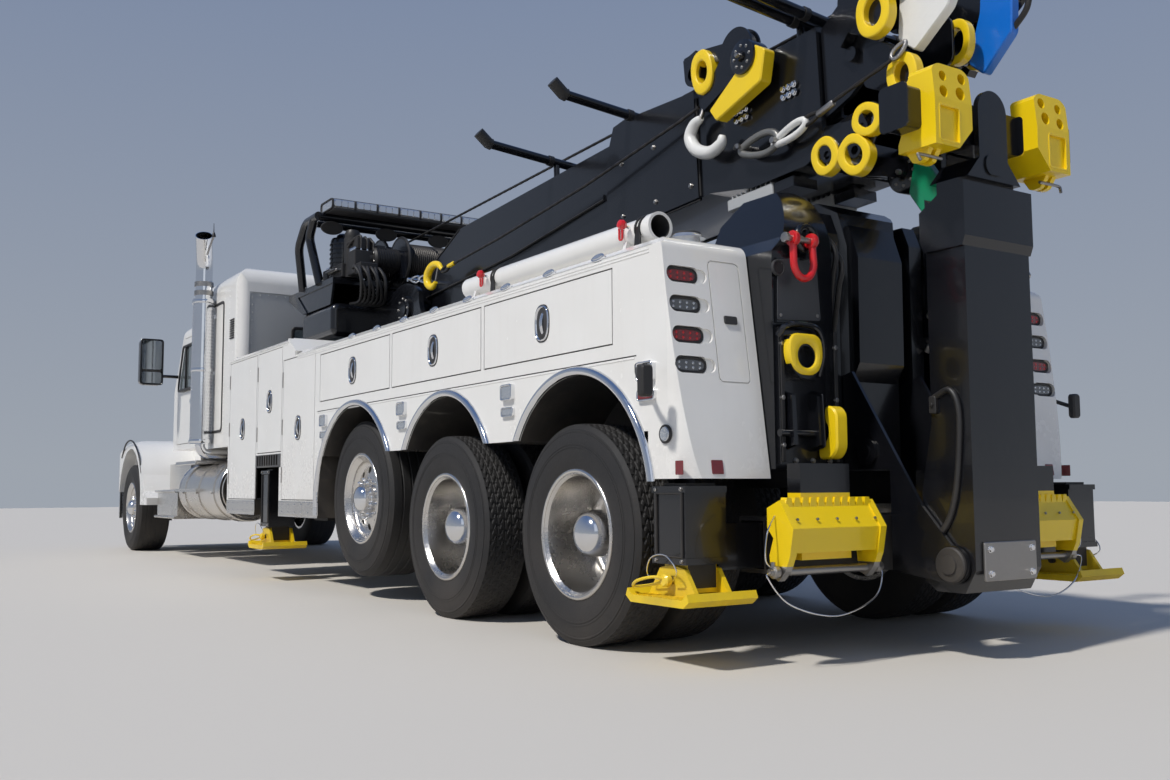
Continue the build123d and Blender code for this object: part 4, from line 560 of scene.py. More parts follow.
# A ring between two outlines with as many points each, its rims rounded by edge
def washer(outer, inner, low, high, facing, edge=0.006):
    outer, inner = np.array(outer, float), np.array(inner, float)
    trim = edge * 0.7
    loops = [(outer, low + edge), (outer, high - edge), (inset(outer, trim), high - edge * 0.3),
             (inset(outer, edge * 2), high), (inset(inner, -edge * 2), high),
             (inset(inner, -trim), high - edge * 0.3), (inner, high - edge), (inner, low + edge),
             (inset(inner, -trim), low + edge * 0.3), (inset(inner, -edge * 2), low), (inset(outer, edge * 2), low),
             (inset(outer, trim), low + edge * 0.3)]
    rings = np.stack([lay(f, d, facing) for f, d in loops])
    return rings.reshape(-1, 3), gridFaces(len(loops), len(outer), True, True)


# The part turned about Y by lean degrees, then moved to place
def moved(part, place, lean=0.0):
    c, s = math.cos(math.radians(lean)), math.sin(math.radians(lean))
    p = part[0]
    return np.stack([p[:, 0] * c + p[:, 2] * s, p[:, 1], -p[:, 0] * s + p[:, 2] * c],
                    axis=1) + np.array(place), part[1]


# The same small part at each place
def copies(part, places):
    spots = (part[0][None] + np.array(places, float)[:, None]).reshape(-1, 3)
    n = len(part[0])
    return spots, [[v + k * n for v in face] for k in range(len(places)) for face in part[1]]


# A domed hexagon head standing along facing
def bolt(facing, size=0.012, tall=0.008):
    rows = capped((-0.002, size * 1.25), (0.001, size * 1.25), (0.0012, size), (tall * 0.8, size), (tall, size * 0.8))
    return turned(rows, (0, 0, 0), facing, 6)


def bolts(facing, size, tall, places):
    return copies(bolt(facing, size, tall), places)


# A part, or a list of parts joined, as an object riding a body, and its mirror image on the body of the other side
def place(name, part, finish, body="chassis", bothSides=False, sharp=32.0):
    part = join(*part) if isinstance(part, list) else part
    jobs = [(name, part, body)]
    if bothSides:
        jobs.append((name + "Right", mirrored(part), body.replace("_left", "_right")))
        jobs[0] = (name + "Left", part, body)
    for label, (spots, faces), carrier in jobs:
        mesh = bpy.data.meshes.new(label)
        mesh.from_pydata((spots + np.array([rearAxle, 0, 0])).tolist(), [], faces)
        form = bmesh.new()
        form.from_mesh(mesh)
        bmesh.ops.remove_doubles(form, verts=form.verts, dist=2e-5)
        bmesh.ops.dissolve_degenerate(form, edges=form.edges, dist=1e-6)
        bmesh.ops.recalc_face_normals(form, faces=form.faces)
        form.to_mesh(mesh)
        form.free()
        mesh.shade_smooth()
        mesh.set_sharp_from_angle(angle=math.radians(sharp))
        mesh.materials.append(mats[finish])
        piece = bpy.data.objects.new(label, mesh)
        bpy.context.scene.collection.objects.link(piece)
        if carrier:
            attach(piece, carrier)


# A part of the left side and its mirror image on the right
def pair(name, part, finish, body="chassis", sharp=32.0):
    place(name, part, finish, body, True, sharp)


# wheels: tread, wall ribs, lug nuts, hub covers and rim lips

# The tread: across it the radius drops in grooves, round it the blocks are parted by slots that lean and shift
def treadBand(x, z, face, width, radius, blocky):
    across = np.linspace(0, 1, 41)
    half = width * 0.4
    y = face - width / 2 - half + 2 * half * across
    base = radius - 0.0028 - 0.003 * np.abs(2 * across - 1) ** 6
    count = tyres["blocks"] * 6 if blocky else 120
    profile = np.concatenate([[[y[0] + 0.004, radius - 0.03]], np.stack([y, base], axis=1),
                              [[y[-1] - 0.004, radius - 0.03]]])
    deep = tyres["treadDepth"]
    row = np.concatenate([[0.0], across, [1.0]])[None, :]
    ribCount = tyres["grooves"] + 1

    def wave(angle, index):
        groove = np.abs(((row * ribCount) % 1.0) - 0.5) > 0.43
        groove &= (row > 0.08) & (row < 0.92)
        lift = np.where(groove, -0.4 * deep, 0.6 * deep)
        if blocky:
            rib = np.floor(row * ribCount)
            turn = (angle / (2 * math.pi) * tyres["blocks"] + 0.5 * (rib % 2)
                    + 0.35 * np.sin(row * ribCount * math.pi * 2))
            slot = (turn % 1.0) > 0.8
            lift = np.where(slot & (row > 0.0) & (row < 1.0), -0.4 * deep, lift)
        inside = (index > 0) & (index < row.shape[1] - 1)
        return np.where(inside, lift, 0.0)

    return turned(profile, (x, 0, z), "y", count, wave)


# Raised rings on the tyre's outer wall, which is an arc through the bead, the bulge and the shoulder
def wallRibs(x, z, face, width, radius):
    low = np.array([tyres["rimRadius"], face - 0.018])
    mid = np.array([(0.31 + radius) / 2, face])
    high = np.array([radius - 0.024, face - width * 0.05])
    parts = []
    for share, tall in tyres["ribs"]:
        r = low[0] + (high[0] - low[0]) * share
        t = (r - low[0]) / (high[0] - low[0])
        m = (mid[0] - low[0]) / (high[0] - low[0])
        wall = low[1] * (t - m) * (t - 1) / m + mid[1] * t * (1 - t) / (m * (1 - m)) + high[1] * t * (t - m) / (1 - m)
        parts.append(turned([(wall - 0.006, r - 0.006), (wall + tall * 0.6, r - 0.004), (wall + tall, r),
                             (wall + tall * 0.6, r + 0.004), (wall - 0.006, r + 0.006)], (x, 0, z), "y", 72))
    return join(*parts)


def lugNuts(x, z, face, ring, size, tall):
    angle = (np.arange(tyres["lugs"]) + 0.5) / tyres["lugs"] * 2 * math.pi
    nut = turned(capped((-0.01, size * 1.15), (0.004, size * 1.15), (0.006, size), (tall * 0.75, size * 0.9),
                        (tall, size * 0.45)), (0, 0, 0), "y", 12)
    return copies(nut, np.stack([x + ring * np.cos(angle), np.full(len(angle), face), z + ring * np.sin(angle)],
                                axis=1))


for k, (name, x, z, face, width, radius, driven) in enumerate(wheelRows):
    body = "wheel_" + name + "_left"
    # a steered tyre passes close under its arch, so its tread stands out less
    sink = tyres["frontSink"] if name == "front" else 0.0
    pair("tread" + str(k), treadBand(x, z, face, width, radius - sink, driven), "tyreRubber", body, 25.0)
    if face < 1.0:   # the inner tyre of a twin shows no more
        continue
    pair("wallRibs" + str(k), wallRibs(x, z, face, width, radius), "tyreRubber", body, 50.0)
    disc = 0.964 if driven else face - 0.071
    nuts = lugNuts(x, z, disc, tyres["lugRing"], tyres["lugSize"], 0.03 if driven else 0.046)
    pair("lugNuts" + str(k), nuts, "chrome", body)
    if driven:
        cover = capped((1.1, 0.112), (1.125, 0.112), (1.145, 0.108), (1.178, 0.098), (1.199, 0.08), (1.212, 0.052),
                       (1.219, 0.022), (1.22, 0))
    else:
        cover = capped((face - 0.07, 0.102), (face - 0.052, 0.102), (face - 0.045, 0.094), (face - 0.02, 0.088),
                       (face + 0.004, 0.076), (face + 0.018, 0.05), (face + 0.024, 0.02), (face + 0.025, 0))
    pair("hubCover" + str(k), turned(cover, (x, 0, z), "y", 48), "chrome", body, 50.0)
    lip = face - 0.015 if driven else face - 0.02
    bead = [(lip - 0.002, 0.283), (lip + 0.004, 0.285), (lip + 0.007, 0.291), (lip + 0.006, 0.299),
            (lip + 0.001, tyres["lipRadius"]), (lip - 0.006, tyres["lipRadius"]), (lip - 0.006, 0.283)]
    pair("rimLip" + str(k), turned(bead, (x, 0, z), "y", 72), "polished", body, 60.0)
print("wheels dressed")


# locker doors: oval dishes round the handles, and a lever in each
bodySide = 1.28   # Y of the body's side faces
dishes = {"width": 0.128, "height": 0.176, "leverWidth": 0.026, "leverHeight": 0.112, "lever": 0.013}
doorRows = [
    # body, handle X, handle Z
    ("door_tall_rear_left", 3.8075, 1.19), ("door_tall_middle_left", 4.515, 1.435),
    ("door_tall_front_left", 5.26, 1.2475), ("door_upper_rear_left", 0.22, 1.5225),
    ("door_upper_middle_left", 1.4525, 1.5225), ("door_upper_front_left", 2.71, 1.5225)]


# The dish's oval, smaller by trim across
def dishOval(x, z, trim):
    return oval(x, z, dishes["width"] - trim, dishes["height"] - trim, 36, 2.6)


# A domed oval rim round the pocket: rings of the oval from its outer foot over the crown to its inner foot
def handleDish(x, z):
    rings = [(0, -0.001), (0, 0.003), (0.006, 0.007), (0.014, 0.008), (0.022, 0.004), (0.03, -0.006), (0.03, -0.0095)]
    loops = np.stack([lay(dishOval(x, z, trim), bodySide + out, "y") for trim, out in rings])
    rim = (loops.reshape(-1, 3), gridFaces(len(rings), 36, False, True)
           + [list(range(36)), list(range(6 * 36, 7 * 36))])
    u = np.linspace(-1, 1, 13)[:, None]
    v = around(12)[None, :]
    wide = dishes["leverWidth"] / 2 * (1 - 0.25 * np.abs(u) ** 3)
    lift = bodySide - 0.004 + dishes["lever"] * (1 - u ** 2)
    lever = np.stack(np.broadcast_arrays(x + wide * np.cos(v), lift + 0.005 * np.sin(v) * (1 - 0.3 * u ** 2),
                                         z + dishes["leverHeight"] / 2 * u + 0 * v), axis=-1)
    ends = list(range(12)), list(range(12 * 12, 13 * 12))
    return join(rim, (lever.reshape(-1, 3), gridFaces(13, 12, False, True) + [ends[0][::-1], ends[1]]))


for body, x, z in doorRows:
    gasket = washer(dishOval(x, z, -0.01), dishOval(x, z, 0.004), 1.279, 1.2835, "y", 0.001)
    pair("gasket_" + body[5:-5], gasket, "hoseRubber", body, 50.0)
    back = plate(dishOval(x, z, 0.026), 1.2805, 1.2815, "y", 0.0003)
    pair("dishBack_" + body[5:-5], back, "darkTrim", body, 50.0)
    pair("dish_" + body[5:-5], handleDish(x, z), "chrome", body, 50.0)
print("door handles done")


# side bodies: rail lamps, marker lamps, reflectors, hinges and the folding marker arm
side = {"railLamps": 8, "railFirst": -0.26, "railStep": 0.43, "markers": (3.23, 1.87, 0.55, -0.64)}


# A flat lens standing on a bezel: the outline, its place along facing, the bezel's width and both thicknesses
def lampPair(flat, at, facing, rim, out, lens):
    sign = 1 if out > 0 else -1
    low, high = sorted((at - sign * 0.004, at + out))
    bezel = washer(flat, inset(np.array(flat), rim), low, high, facing, min(0.003, abs(out) * 0.3))
    low, high = sorted((at - sign * 0.004, at + lens))
    return bezel, plate(inset(np.array(flat), rim * 0.8), low, high, facing, min(0.004, abs(lens) * 0.4))


railPlaces = [(side["railFirst"] + side["railStep"] * k, 1.266, 1.758) for k in range(side["railLamps"])]
ring, glass = lampPair(oval(0, 0, 0.098, 0.04, 28), 0.0, "z", 0.006, 0.012, 0.016)


# The part tipped outwards about X by lean degrees, for pieces on the sloped rail
def tipped(part, lean):
    c, s = math.cos(math.radians(lean)), math.sin(math.radians(lean))
    p = part[0]
    return np.stack([p[:, 0], p[:, 1] * c + p[:, 2] * s, -p[:, 1] * s + p[:, 2] * c], axis=1), part[1]


pair("railLampRings", copies(tipped(ring, 62.0), railPlaces), "chrome")
pair("railLampLenses", copies(tipped(glass, 62.0), railPlaces), "lensClear")
for k, x in enumerate(side["markers"]):
    bezel, lens = lampPair(panel(x - 0.058, x + 0.058, 1.168, 1.252, 0.02), bodySide, "y", 0.01, 0.024, 0.018)
    pair("markerBezel" + str(k), bezel, "chrome")
    pair("markerLens" + str(k), lens, "lensClear")
    bezel, lens = lampPair(panel(x - 0.062, x + 0.062, 1.086, 1.136, 0.018), bodySide, "y", 0.007, 0.016, 0.013)
    pair("lowBezel" + str(k), bezel, "chrome")
    pair("lowLens" + str(k), lens, "lensClear" if k < 3 else "lensRed")
arm = hose([(-0.615, 1.283, 1.226), (-0.66, 1.345, 1.215), (-0.74, 1.4, 1.175), (-0.8, 1.42, 1.15)], 0.011, 10, 5)
arm = join(arm, plate(panel(1.395, 1.455, 1.085, 1.215, 0.02), -0.84, -0.8, "x", 0.008))
arm = join(arm, plate(panel(-0.66, -0.57, 1.2, 1.25, 0.012), 1.279, 1.3, "y", 0.004))
pair("markerArm", arm, "hoseRubber")
bezel, lens = lampPair(oval(-0.763, 0.942, 0.078, 0.078, 32), bodySide, "y", 0.01, 0.01, 0.012)
pair("roundBezel", bezel, "hoseRubber")
pair("roundLens", lens, "lensClear")
square = panel(-0.875, -0.825, 0.775, 0.832, 0.004, 3)
pair("sideReflector", plate(square, 1.2795, 1.2835, "y", 0.001), "lensRed")
# the body's rear face runs from X -0.88 at Z 0.76 at the foot up to X -0.74 at Z 1.78 at the shoulder
rearFace = {"x": -0.88, "z": 0.76, "rake": 0.14 / 1.02}


def rearX(z):
    return rearFace["x"] + rearFace["rake"] * (z - rearFace["z"])


# A piece drawn across X laid on the raked rear face
def raked(part):
    spots = part[0].copy()
    spots[:, 0] += rearX(spots[:, 2])
    return spots, part[1]


flatRed = plate(panel(1.075, 1.135, 0.778, 0.835, 0.004, 3), -0.004, 0.0005, "x", 0.001)
pair("rearReflector", raked(flatRed), "lensRed")
latch = plate(panel(0.915, 0.985, 1.415, 1.45, 0.008), -0.008, 0.001, "x", 0.002)
pair("rearLatch", raked(latch), "darkTrim")

# dark rubber seals in the gaps round the doors, and thin double lips along the rail and the belt
for body, x0, x1, z0, z1 in (("tallRear", 3.44, 4.175, 0.645, 1.735), ("tallMiddle", 4.2, 4.83, 1.02, 1.85),
                             ("tallFront", 4.86, 5.66, 0.645, 1.85), ("upperRear", -0.385, 0.825, 1.35, 1.695),
                             ("upperMiddle", 0.855, 2.05, 1.35, 1.695), ("upperFront", 2.08, 3.34, 1.35, 1.695)):
    loop = np.array([(x0, z0), (x1, z0), (x1, z1), (x0, z1)])
    pair("seal_" + body, washer(inset(loop, 0.0005), inset(loop, 0.0065), 1.262, 1.2745, "y", 0.0008), "hoseRubber")
for k, (x0, x1, z) in enumerate(((-0.66, 3.84, 1.73), (-0.66, 3.84, 1.716), (4.07, 5.69, 1.852),
                                 (-0.55, 3.38, 1.274))):
    lip = [(x0, 1.278, z), (x1, 1.278, z)]
    pair("railLip" + str(k), tube(line(*lip, 3), 0.0048, 8), "whitePaint")
for k, (x0, x1) in enumerate(((3.34, 4.2), (4.86, 5.69))):
    pair("sill" + str(k), plate(panel(x0, x1, 0.535, 0.632, 0.006, 3), 1.279, 1.285, "y", 0.002), "polished")
    where = [(x0 + 0.06 + (x1 - x0 - 0.12) * t, 1.285, z) for t in np.linspace(0, 1, 6) for z in (0.555, 0.612)]
    pair("sillRivets" + str(k), bolts("y", 0.006, 0.004, where), "chrome")
hinges = [(0.78, 0.9, 4.172), (1.15, 1.27, 4.172), (1.52, 1.64, 4.172), (1.12, 1.24, 4.828), (1.62, 1.74, 4.828),
          (0.78, 0.9, 5.658), (1.2, 1.32, 5.658), (1.62, 1.74, 5.658)]   # foot and head Z, X
pair("doorHinges", [rod((x, 1.281, z0), (x, 1.281, z1), 0.006, 10, 5) for z0, z1, x in hinges], "bareSteel")
print("side bodies dressed")

# tool tube on the rail: pull pins with red knobs, black brackets, and a dark liner in the bore that is painted shade
tubeSet = {"y": 1.06, "z": 1.895, "pins": (-0.3, 1.08)}
knobs, pins, straps = [], [], []
for x in tubeSet["pins"]:
    out = tubeSet["y"] + 0.058
    knobs.append(turned(capped((0.028, 0.01), (0.036, 0.019), (0.052, 0.024), (0.066, 0.019), (0.072, 0)),
                        (x, out, tubeSet["z"] + 0.012), (0, 1, 0.25), 20))
    pins.append(rod((x, out - 0.02, tubeSet["z"] + 0.007), (x, out + 0.045, tubeSet["z"] + 0.023), 0.007, 10))
    pull = panel(x + 0.05, x + 0.075, tubeSet["z"] - 0.03, tubeSet["z"] + 0.05, 0.012)
    knobs.append(tube(lay(pull, out + 0.012, "y"), 0.005, 8, True))
    loop = np.linspace(-0.55, math.pi + 0.55, 22)
    for offset in (-0.075, -0.045):
        arc = np.stack([np.full(len(loop), x + offset), tubeSet["y"] + 0.0655 * np.cos(loop),
                        tubeSet["z"] + 0.0655 * np.sin(loop)], axis=1)
        straps.append(tube(arc, 0.006, 8))
    straps.append(plate(rounded([(x - 0.09, 1.785), (x - 0.03, 1.785), (x - 0.045, 1.905), (x - 0.075, 1.905)], 0.01),
                        1.118, 1.126, "y", 0.002))
pair("tubeKnobs", knobs, "redPaint")
pair("tubePins", pins, "chrome")
pair("tubeStraps", straps, "hoseRubber")
# painted shade: a dark liner and an end disc inside the tube's open end stand in for the shade within it
pair("tubeBore", turned([(-0.448, 0.053), (-0.447, 0.052), (-0.16, 0.052), (-0.16, 0), (-0.158, 0),
                         (-0.158, 0.0535), (-0.446, 0.0535)], (0, tubeSet["y"], tubeSet["z"]), "x", 40), "darkTrim")
beacon = (-0.56, 1.0, 0.0)   # its axis
pair("beaconLip", turned([(1.823, 0.06), (1.823, 0.0625), (1.832, 0.066), (1.846, 0.064), (1.85, 0.0595)],
                         beacon, "z", 40), "darkTrim")
ribs = []
for k in range(7):
    r = 0.012 + 0.011 * k
    z = 1.75 + math.sqrt(0.11 ** 2 - r ** 2)
    ribs.append(turned([(z - 0.003, r - 0.003), (z + 0.0015, r), (z - 0.003, r + 0.003)], beacon, "z", 36))
pair("beaconRibs", ribs, "lensClear")
print("tool tubes dressed")

# corner lamps: black rubber grommets with diodes behind each lens
for k, z in enumerate((1.228, 1.354, 1.485, 1.612)):
    x = rearX(z) + 0.022
    grommet = washer(oval(1.18, z, 0.176, 0.072, 36, 3.0), oval(1.18, z, 0.15, 0.046, 36, 3.0), x - 0.006, x + 0.012,
                     "x", 0.003)
    pair("grommet" + str(k), grommet, "hoseRubber")
    pair("cornerLens" + str(k), plate(oval(1.18, z, 0.152, 0.048, 36, 3.0), x - 0.004, x + 0.006, "x", 0.002),
         "lensRed" if k in (1, 3) else "lensSmoke")
    dots = [(x - 0.004, 1.18 + 0.036 * (j - 1.5), z + 0.01 * i) for j in range(4) for i in (-1, 1)]
    diode = turned([(-0.0022, 0), (-0.0016, 0.005), (0.001, 0.007), (0.002, 0)], (0, 0, 0), "x", 10)
    pair("diodes" + str(k), copies(diode, dots), "redPaint" if k in (1, 3) else "lensClear")
print("corner lamps done")

# tail columns: plates, cast eyes, shackles, a round lamp, hoses and bolts
eyeOuter = rounded([(0.6, 1.372), (0.588, 1.265), (0.628, 1.196), (0.742, 1.196), (0.79, 1.262), (0.782, 1.372)],
                   0.05, 6)
eyeInner = oval(0.685, 1.278, 0.104, 0.104, len(eyeOuter))[::-1]
# the hole's points start beside the outline's first one and run round the same way
start = np.argmin(np.linalg.norm(eyeInner - eyeOuter[0], axis=1))
eyeInner = np.roll(eyeInner, -start, 0) if doubleArea(eyeOuter) < 0 else np.roll(eyeInner[::-1], start + 1, 0)
pair("towEye", washer(eyeOuter, eyeInner, -0.978, -0.93, "x", 0.008), "yellowPaint")
eyeHood = hose([(-0.93, 0.575, 1.2), (-0.955, 0.57, 1.3), (-0.955, 0.6, 1.395), (-0.955, 0.7, 1.415),
                (-0.955, 0.79, 1.4), (-0.93, 0.81, 1.36)], 0.013, 10)
pair("eyeHood", eyeHood, "blackPaint")
jawSide = rounded([(-0.905, 0.842), (-0.985, 0.842), (-1.018, 0.885), (-1.018, 1.038), (-0.985, 1.07), (-0.944, 1.07),
                   (-0.944, 1.0), (-0.962, 0.985), (-0.962, 0.935), (-0.935, 0.905), (-0.905, 0.905)], 0.022, 4)
pair("towJaw", plate(jawSide, 0.498, 0.567, "y", 0.008), "yellowPaint")
jawFlat = rounded([(-0.905, 0.872), (-0.982, 0.892), (-0.972, 1.118), (-0.905, 1.14)], 0.012)
jawPin = rod((-0.94, 0.59, 0.95), (-0.94, 0.82, 0.95), 0.016, 14, 4)
pair("jawPlate", [plate(jawFlat, 0.594, 0.6, "y", 0.002), jawPin], "blackPaint")
t = np.linspace(0, math.pi, 20)
bow = np.stack([np.full(20, -0.995), 0.655 + 0.058 * np.cos(math.pi - t), 1.745 - 0.072 * np.sin(t)], axis=1)
shackle = tube(np.concatenate([[(-0.99, 0.6, 1.83)], bow, [(-0.99, 0.71, 1.83)]]), 0.016, 14)
ears = join(turned(capped((0.588, 0.03), (0.596, 0.034), (0.608, 0.034), (0.616, 0.03)), (-0.99, 0, 1.84), "y", 24),
            turned(capped((0.694, 0.03), (0.702, 0.034), (0.716, 0.034), (0.722, 0.03)), (-0.99, 0, 1.84), "y", 24))
drop = (0.0, 0.06, -0.07)   # both shackle pieces hang this far from where they are drawn
pair("shackle", moved(join(shackle, ears), drop), "redPaint")
pinHead = turned(capped((0.742, 0.022), (0.748, 0.024), (0.76, 0.022), (0.764, 0)), (-0.99, 0, 1.84), "y", 8)
shacklePin = join(rod((-0.99, 0.57, 1.84), (-0.99, 0.745, 1.84), 0.0135, 14), pinHead,
                  rod((-0.905, 0.655, 1.86), (-0.985, 0.655, 1.845), 0.014, 12))
pair("shacklePin", moved(shacklePin, drop), "bareSteel")
bezel, lens = lampPair(oval(0.79, 1.655, 0.072, 0.072, 32), -0.9135, "x", 0.009, -0.012, -0.01)
pair("workBezel", bezel, "darkTrim")
pair("workLens", lens, "hoseRubber")
bare = rounded([(0.545, 1.445), (0.8, 1.43), (0.793, 1.69), (0.61, 1.722), (0.565, 1.715)], 0.012, 3)
pair("sheetPlate", plate(bare, -0.9185, -0.9145, "x", 0.001), "greyBlack")
corners = [(-0.9185, 0.565, 1.465), (-0.9185, 0.78, 1.452), (-0.9185, 0.775, 1.672), (-0.9185, 0.6, 1.7)]
pair("plateScrews", bolts("-x", 0.007, 0.004, corners), "bareSteel")
strips = [plate(panel(y - 0.01, y + 0.01, 0.83, 1.4, 0.006), -0.934, -0.926, "x", 0.002) for y in (0.474, 0.789)]
pair("tailStrips", strips, "satinBlack")
columnBolts = [(-0.906, y, z) for y in (0.5, 0.6, 0.7) for z in (0.815, 0.835)]
columnBolts += [(-0.927, y, z) for y in (0.474, 0.789) for z in (0.9, 1.1, 1.33)]
pair("columnBolts", bolts("-x", 0.011, 0.01, columnBolts), "bareSteel")
for k, (y0, y1, z0, z1) in enumerate(((0.5, 0.36, 1.95, 1.55), (0.44, 0.37, 1.9, 1.42), (0.4, 0.34, 1.85, 1.38))):
    run = smooth([(-0.8, y0, z0), (-0.88, y0 - 0.03, z0 - 0.12), (-0.86, (y0 + y1) / 2, (z0 + z1) / 2),
                  (-0.79, y1, z1 + 0.05), (-0.755, y1, z1)], 7)
    pair("tailHose" + str(k), tube(run, 0.013, 10), "hoseRubber")
    ends = join(*(turned(capped((0, 0.018), (0.012, 0.02), (0.034, 0.02), (0.04, 0.015), (0.042, 0)), p, d, 6)
                  for p, d in ((run[0], (-0.6, -0.2, -0.8)), (run[-1], (-0.5, 0, 0.8)))))
    pair("hoseEnds" + str(k), ends, "bareSteel")
print("tail done")

# outriggers and spades: bolts, ribs, cable lanyards and pin handles
for name, x, low, high in (("middle", 4.56, 0.43, 0.88), ("rear", -0.83, 0.415, 0.73)):
    for label, cx, flip in (("left", x + 0.077, False), ("right", x - 0.077, True)):
        y = 1.155   # of the leg's middle, on the left
        ends = (low + 0.013, high - 0.013)
        heads = bolts("y", 0.008, 0.007, [(cx + dx, 1.266, z) for dx in (-0.085, 0.085) for z in ends])
        strip = tube([(cx - 0.085, 1.263, low + 0.03), (cx - 0.085, 1.263, high - 0.03),
                      (cx + 0.085, 1.263, high - 0.03), (cx + 0.085, 1.263, low + 0.03)], 0.007, 8, True)
        mirror = np.array([1, -1 if flip else 1, 1])
        loop = smooth([(cx - 0.04, y + 0.122, 0.35), (cx - 0.1, y + 0.15, 0.395), (cx - 0.05, y + 0.168, 0.455),
                       (cx + 0.05, y + 0.165, 0.44), (cx + 0.1, y + 0.145, 0.37), (cx + 0.02, y + 0.125, 0.35)], 8)
        hoop = smooth([(cx, y + 0.12, 0.35), (cx + 0.03, y + 0.165, 0.365), (cx + 0.12, y + 0.185, 0.345),
                       (cx + 0.17, y + 0.165, 0.318), (cx + 0.1, y + 0.15, 0.325), (cx + 0.01, y + 0.132, 0.343)], 7)
        nub = turned(capped((0.11, 0.022), (0.118, 0.026), (0.136, 0.026), (0.142, 0.02)), (cx, y, 0.35), "y", 24)
        ridges = join(*(rod((x1, y - 0.17, 0.2865), (x1, y + 0.17, 0.2865), 0.003, 6, 2)
                        for x1 in cx - 0.17 + 0.034 * np.arange(11)))
        for piece, part, finish, carrier in (
                ("sleeveBolts", heads, "bareSteel", "beam"), ("sleeveWeld", strip, "satinBlack", "beam"),
                ("legLanyard", tube(loop * mirror, 0.0028, 8), "chrome", "leg"),
                ("legHandle", tube(hoop * mirror, 0.0065, 10), "yellowPaint", "leg"),
                ("legPin", nub, "yellowPaint", "leg"), ("footRibs", ridges, "yellowPaint", "leg")):
            # a path is mirrored before it is made a tube, every other part after
            if flip and piece not in ("legLanyard", "legHandle"):
                part = mirrored(part)
            place(piece + "_" + name + label, part, finish, "outrigger_" + carrier + "_" + name + "_" + label)
px, pz = -1.062, 0.388   # the spade pin
long = smooth([(px, 0.998, pz), (-1.08, 1.03, pz - 0.02), (-1.1, 0.93, 0.26), (-1.12, 0.7, 0.205), (-1.1, 0.46, 0.26),
               (-1.08, 0.385, pz - 0.03), (px, 0.405, pz)], 10)
pair("spadeCable", tube(long, 0.0035, 8), "chrome", "spade_left")
short = smooth([(px, 0.985, pz + 0.01), (-1.075, 1.035, 0.44), (-1.07, 1.02, 0.54), (-1.05, 0.965, 0.6),
                (-1.04, 0.945, 0.615)], 8)
pair("spadeLanyard", tube(short, 0.003, 8), "chrome", "spade_left")
outerHead = capped((0.962, 0.024), (0.97, 0.026), (0.985, 0.026), (0.99, 0.016), (1.004, 0.014), (1.006, 0))
innerHead = capped((0.373, 0.02), (0.38, 0.024), (0.402, 0.024), (0.406, 0.018))
block = join(turned(outerHead, (px, 0, pz), "y", 18), turned(innerHead, (px, 0, pz), "y", 18),
             turned(capped((-0.02, 0.01), (0.02, 0.01)), (px, 0.985, pz + 0.02), "z", 12))
pair("spadeBlock", block, "bareSteel", "spade_left")
spadeBolts = [(-1.128, 0.47 + 0.11 * k, 0.595) for k in range(5)]
spadeBolt = turned([(-0.004, 0), (-0.003, 0.006), (0.003, 0.006), (0.004, 0)], (0, 0, 0), (1, 0, -0.4), 12)
pair("spadeBolts", copies(spadeBolt, spadeBolts), "bareSteel", "spade_left")
print("outriggers and spades done")


# boom: its pieces are drawn level from the foot pin and then pitched
boomSet = {"foot": (3.75, 0.0, 2.15), "pitch": 3.0}
headSet = {"rope": 0.0095, "strands": 6, "lay": 0.085}


def onBoom(part):
    return moved(part, boomSet["foot"], boomSet["pitch"])


# Points of the level boom where they stand in the truck
def boomPath(points):
    return onBoom((np.array(points, float), []))[0]


def boomSpot(*p):
    return boomPath([p])[0]


# A cast eye across Y, leaning by lean: an oval of size (width, height) with an oval hole, its rims rounded by edge
# times its thickness
def castEye(at, size, hole, thick, lean, edge=0.1):
    ring = washer(oval(0, 0, *size, 40, 2.3), oval(0, 0, *hole, 40), -thick / 2, thick / 2, "y", thick * edge)
    return moved(ring, at, lean)


# A sheave's cheek: a dished black disc with a boss, a nut and a ring of small bolts on each side
def cheekDisc(at, r, half):
    disc = turned(capped((-half - 0.004, r * 0.9), (-half, r * 1.0), (-half + 0.006, r * 1.02),
                         (half - 0.006, r * 1.02), (half, r * 1.0), (half + 0.004, r * 0.9)), (0, 0, 0), "y", 44)
    boss = turned(capped((-half - 0.022, r * 0.26), (-half - 0.003, r * 0.34), (half + 0.003, r * 0.34),
                         (half + 0.022, r * 0.26)), (0, 0, 0), "y", 32)
    return onBoom(moved(join(disc, boss), at))


def cheekNuts(at, r, half):
    nut = bolt("y", r * 0.15, 0.022)
    turn = around(8)
    places = [(r * 0.66 * math.cos(t), half + 0.003, r * 0.66 * math.sin(t)) for t in turn]
    small = bolts("y", 0.0075, 0.006, places)
    big = copies(nut, [(0, half + 0.02, 0)])
    return onBoom(moved(join(big, small), at))


sideSheave = (-4.092, 0.385, 0.498)
pair("sideEye", onBoom(castEye((-3.737, 0.376, 0.561), (0.17, 0.245), (0.09, 0.124), 0.068, 8.0, 0.11)),
     "yellowPaint", "boom")
pair("sideCheek", cheekDisc(sideSheave, 0.086, 0.052), "blackPaint", "boom")
pair("sideNuts", cheekNuts(sideSheave, 0.086, 0.052), "bareSteel", "boom")
web = rounded([(-3.6, 0.69), (-3.78, 0.69), (-3.98, 0.64), (-3.98, 0.49), (-3.8, 0.43), (-3.62, 0.47)], 0.03)
pair("sideWeb", onBoom(plate(web, 0.318, 0.346, "y", 0.004)), "blackPaint", "boom")
tipSheave = (-4.705, 0.0, -0.225)
